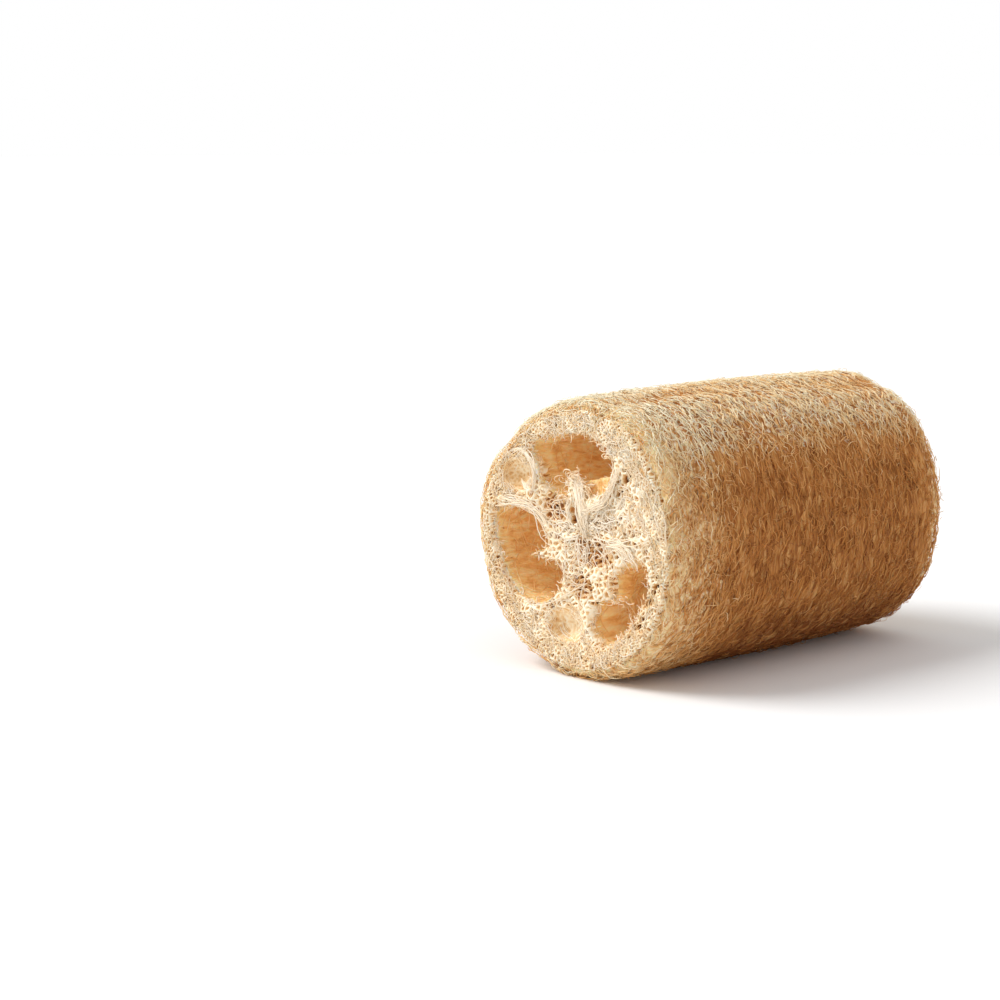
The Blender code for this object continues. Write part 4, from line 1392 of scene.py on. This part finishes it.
def clear_of_holes(strands, holes):
    """The strands that don't cross one of the shown end's holes."""
    flat = strands[0] - AXIS
    in_hole = hole_share(holes, flat[:, :, 0], flat[:, :, 2]) > HOLE_KEPT_CLEAR
    keep = ~((flat[:, :, 1] < 0) & in_hole).any(axis=1)
    return [values[keep] for values in strands]


def core_strands(rng):
    """The bundles and all curled fibres near the core of the shown end."""
    tongue = [curls(rng, *spot) for spot in TONGUE_CURLS]
    beds = []
    for *middle, half_width, half_height, count in CURL_BEDS:
        spread = (half_width * BED_SPREAD, half_height * BED_SPREAD)
        beds.append(curls(rng, count, middle, spread, *BED_CURLS))
    spots = [curls(rng, *spot) for spot in SPOT_CURLS]
    return joined((bundle_strands(rng), *tongue, *spots, *beds))


def add_strands(depths, solid, holes, tree):
    skin = fibre_material("loofah_skin_fibre", SKIN_STOPS)
    # The web and chamber fibres get a painted glow.
    web = fibre_material("loofah_web_fibre", WEB_STOPS, SHEET_PAINTED_GLOW)
    chamber = fibre_material("loofah_chamber_fibre", CHAMBER_STOPS, WALL_PAINTED_GLOW)
    rng = np.random.default_rng(STRAND_SEED)
    for name, *layer in SKIN_LAYERS:
        tubes(name, *skin_strands(rng, depths, *layer), skin)
    tubes("flyaway_hairs", *flyaway_hairs(rng), skin)
    torn = [torn_strands(rng, solid[end], end) for end in depths]
    tubes("web_torn_strands", *joined(torn), web)
    loose = [loose_face_strands(rng, depths[end], holes[end], end) for end in depths]
    tubes("web_loose_fibres", *joined(loose), web)
    rays = [core_rays(rng, depths, *fan) for fan in RAY_FANS]
    tubes("core_rays", *clear_of_holes(joined(rays), holes[-1]), web)
    tubes("core_bundles", *clear_of_holes(core_strands(rng), holes[-1]), web)
    tubes("pocket_fibres", *joined((pocket_swirls(rng, depths), veil_strands(rng))), web)
    tubes("chamber_fibres", *chamber_strands(rng, tree), chamber)


def add_floor():
    bpy.ops.mesh.primitive_plane_add(size=FLOOR_SIZE, location=(0, 0, 0))
    floor = bpy.context.object
    floor.name = "floor"
    material, _, shader = new_material("studio_floor", *FLOOR_FINISH)
    shader.inputs["Base Color"].default_value = FLOOR_COLOUR
    floor.data.materials.append(material)


def add_studio():
    """White surroundings to the eye, dimmer as light, with a broad soft key from the upper left."""
    world = bpy.data.worlds.new("studio")
    bpy.context.scene.world = world
    world.use_nodes = True
    tree = world.node_tree
    background = tree.nodes["Background"]
    path = tree.nodes.new("ShaderNodeLightPath")
    strength = tree.nodes.new("ShaderNodeMapRange")
    strength.inputs["To Min"].default_value = WORLD_LIGHT
    strength.inputs["To Max"].default_value = 1.0
    tree.links.new(path.outputs["Is Camera Ray"], strength.inputs["Value"])
    tree.links.new(strength.outputs["Result"], background.inputs["Strength"])
    background.inputs["Color"].default_value = (1, 1, 1, 1)
    key = bpy.data.lights.new("key", "SUN")
    key.energy = KEY_STRENGTH
    key.angle = math.radians(KEY_SOFTNESS)
    obj = bpy.data.objects.new("key", key)
    obj.rotation_euler = (-Vector(KEY_FROM)).to_track_quat("-Z", "Y").to_euler()
    bpy.context.scene.collection.objects.link(obj)


def add_camera():
    data = bpy.data.cameras.new("camera")
    data.lens = CAMERA_LENS
    data.sensor_width = CAMERA_SENSOR
    data.clip_start = CAMERA_NEAREST
    camera = bpy.data.objects.new("camera", data)
    camera.location = Vector(AXIS) + CAMERA_OFFSET
    camera.rotation_euler = CAMERA_FORWARD.to_track_quat("-Z", "Y").to_euler()
    bpy.context.scene.collection.objects.link(camera)
    bpy.context.scene.camera = camera


def main():
    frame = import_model()
    bpy.context.scene.view_settings.view_transform = "Standard"
    add_camera()
    add_studio()
    add_floor()
    rng = np.random.default_rng(WEB_SEED)
    holes = {end: web_holes(rng, end) for end in ENDS}
    mat = add_mat(frame["nodes"]["loofah_sponge"])
    places = [vert.co for vert in mat.data.vertices]
    tree = BVHTree.FromPolygons(places, [tuple(face.vertices) for face in mat.data.polygons])
    depths = {end: face_depths(tree, end) for end in ENDS}
    solid = {end: solid_web(grid, end) for end, grid in depths.items()}
    press_mat(mat, solid)
    web = sheet_material()
    for end in ENDS:
        add_web_sheet(rng, end, np.minimum(depths[end], POCKET_DEPTH), solid[end], holes[end], web)
    add_strands(depths, solid, holes, tree)


main()
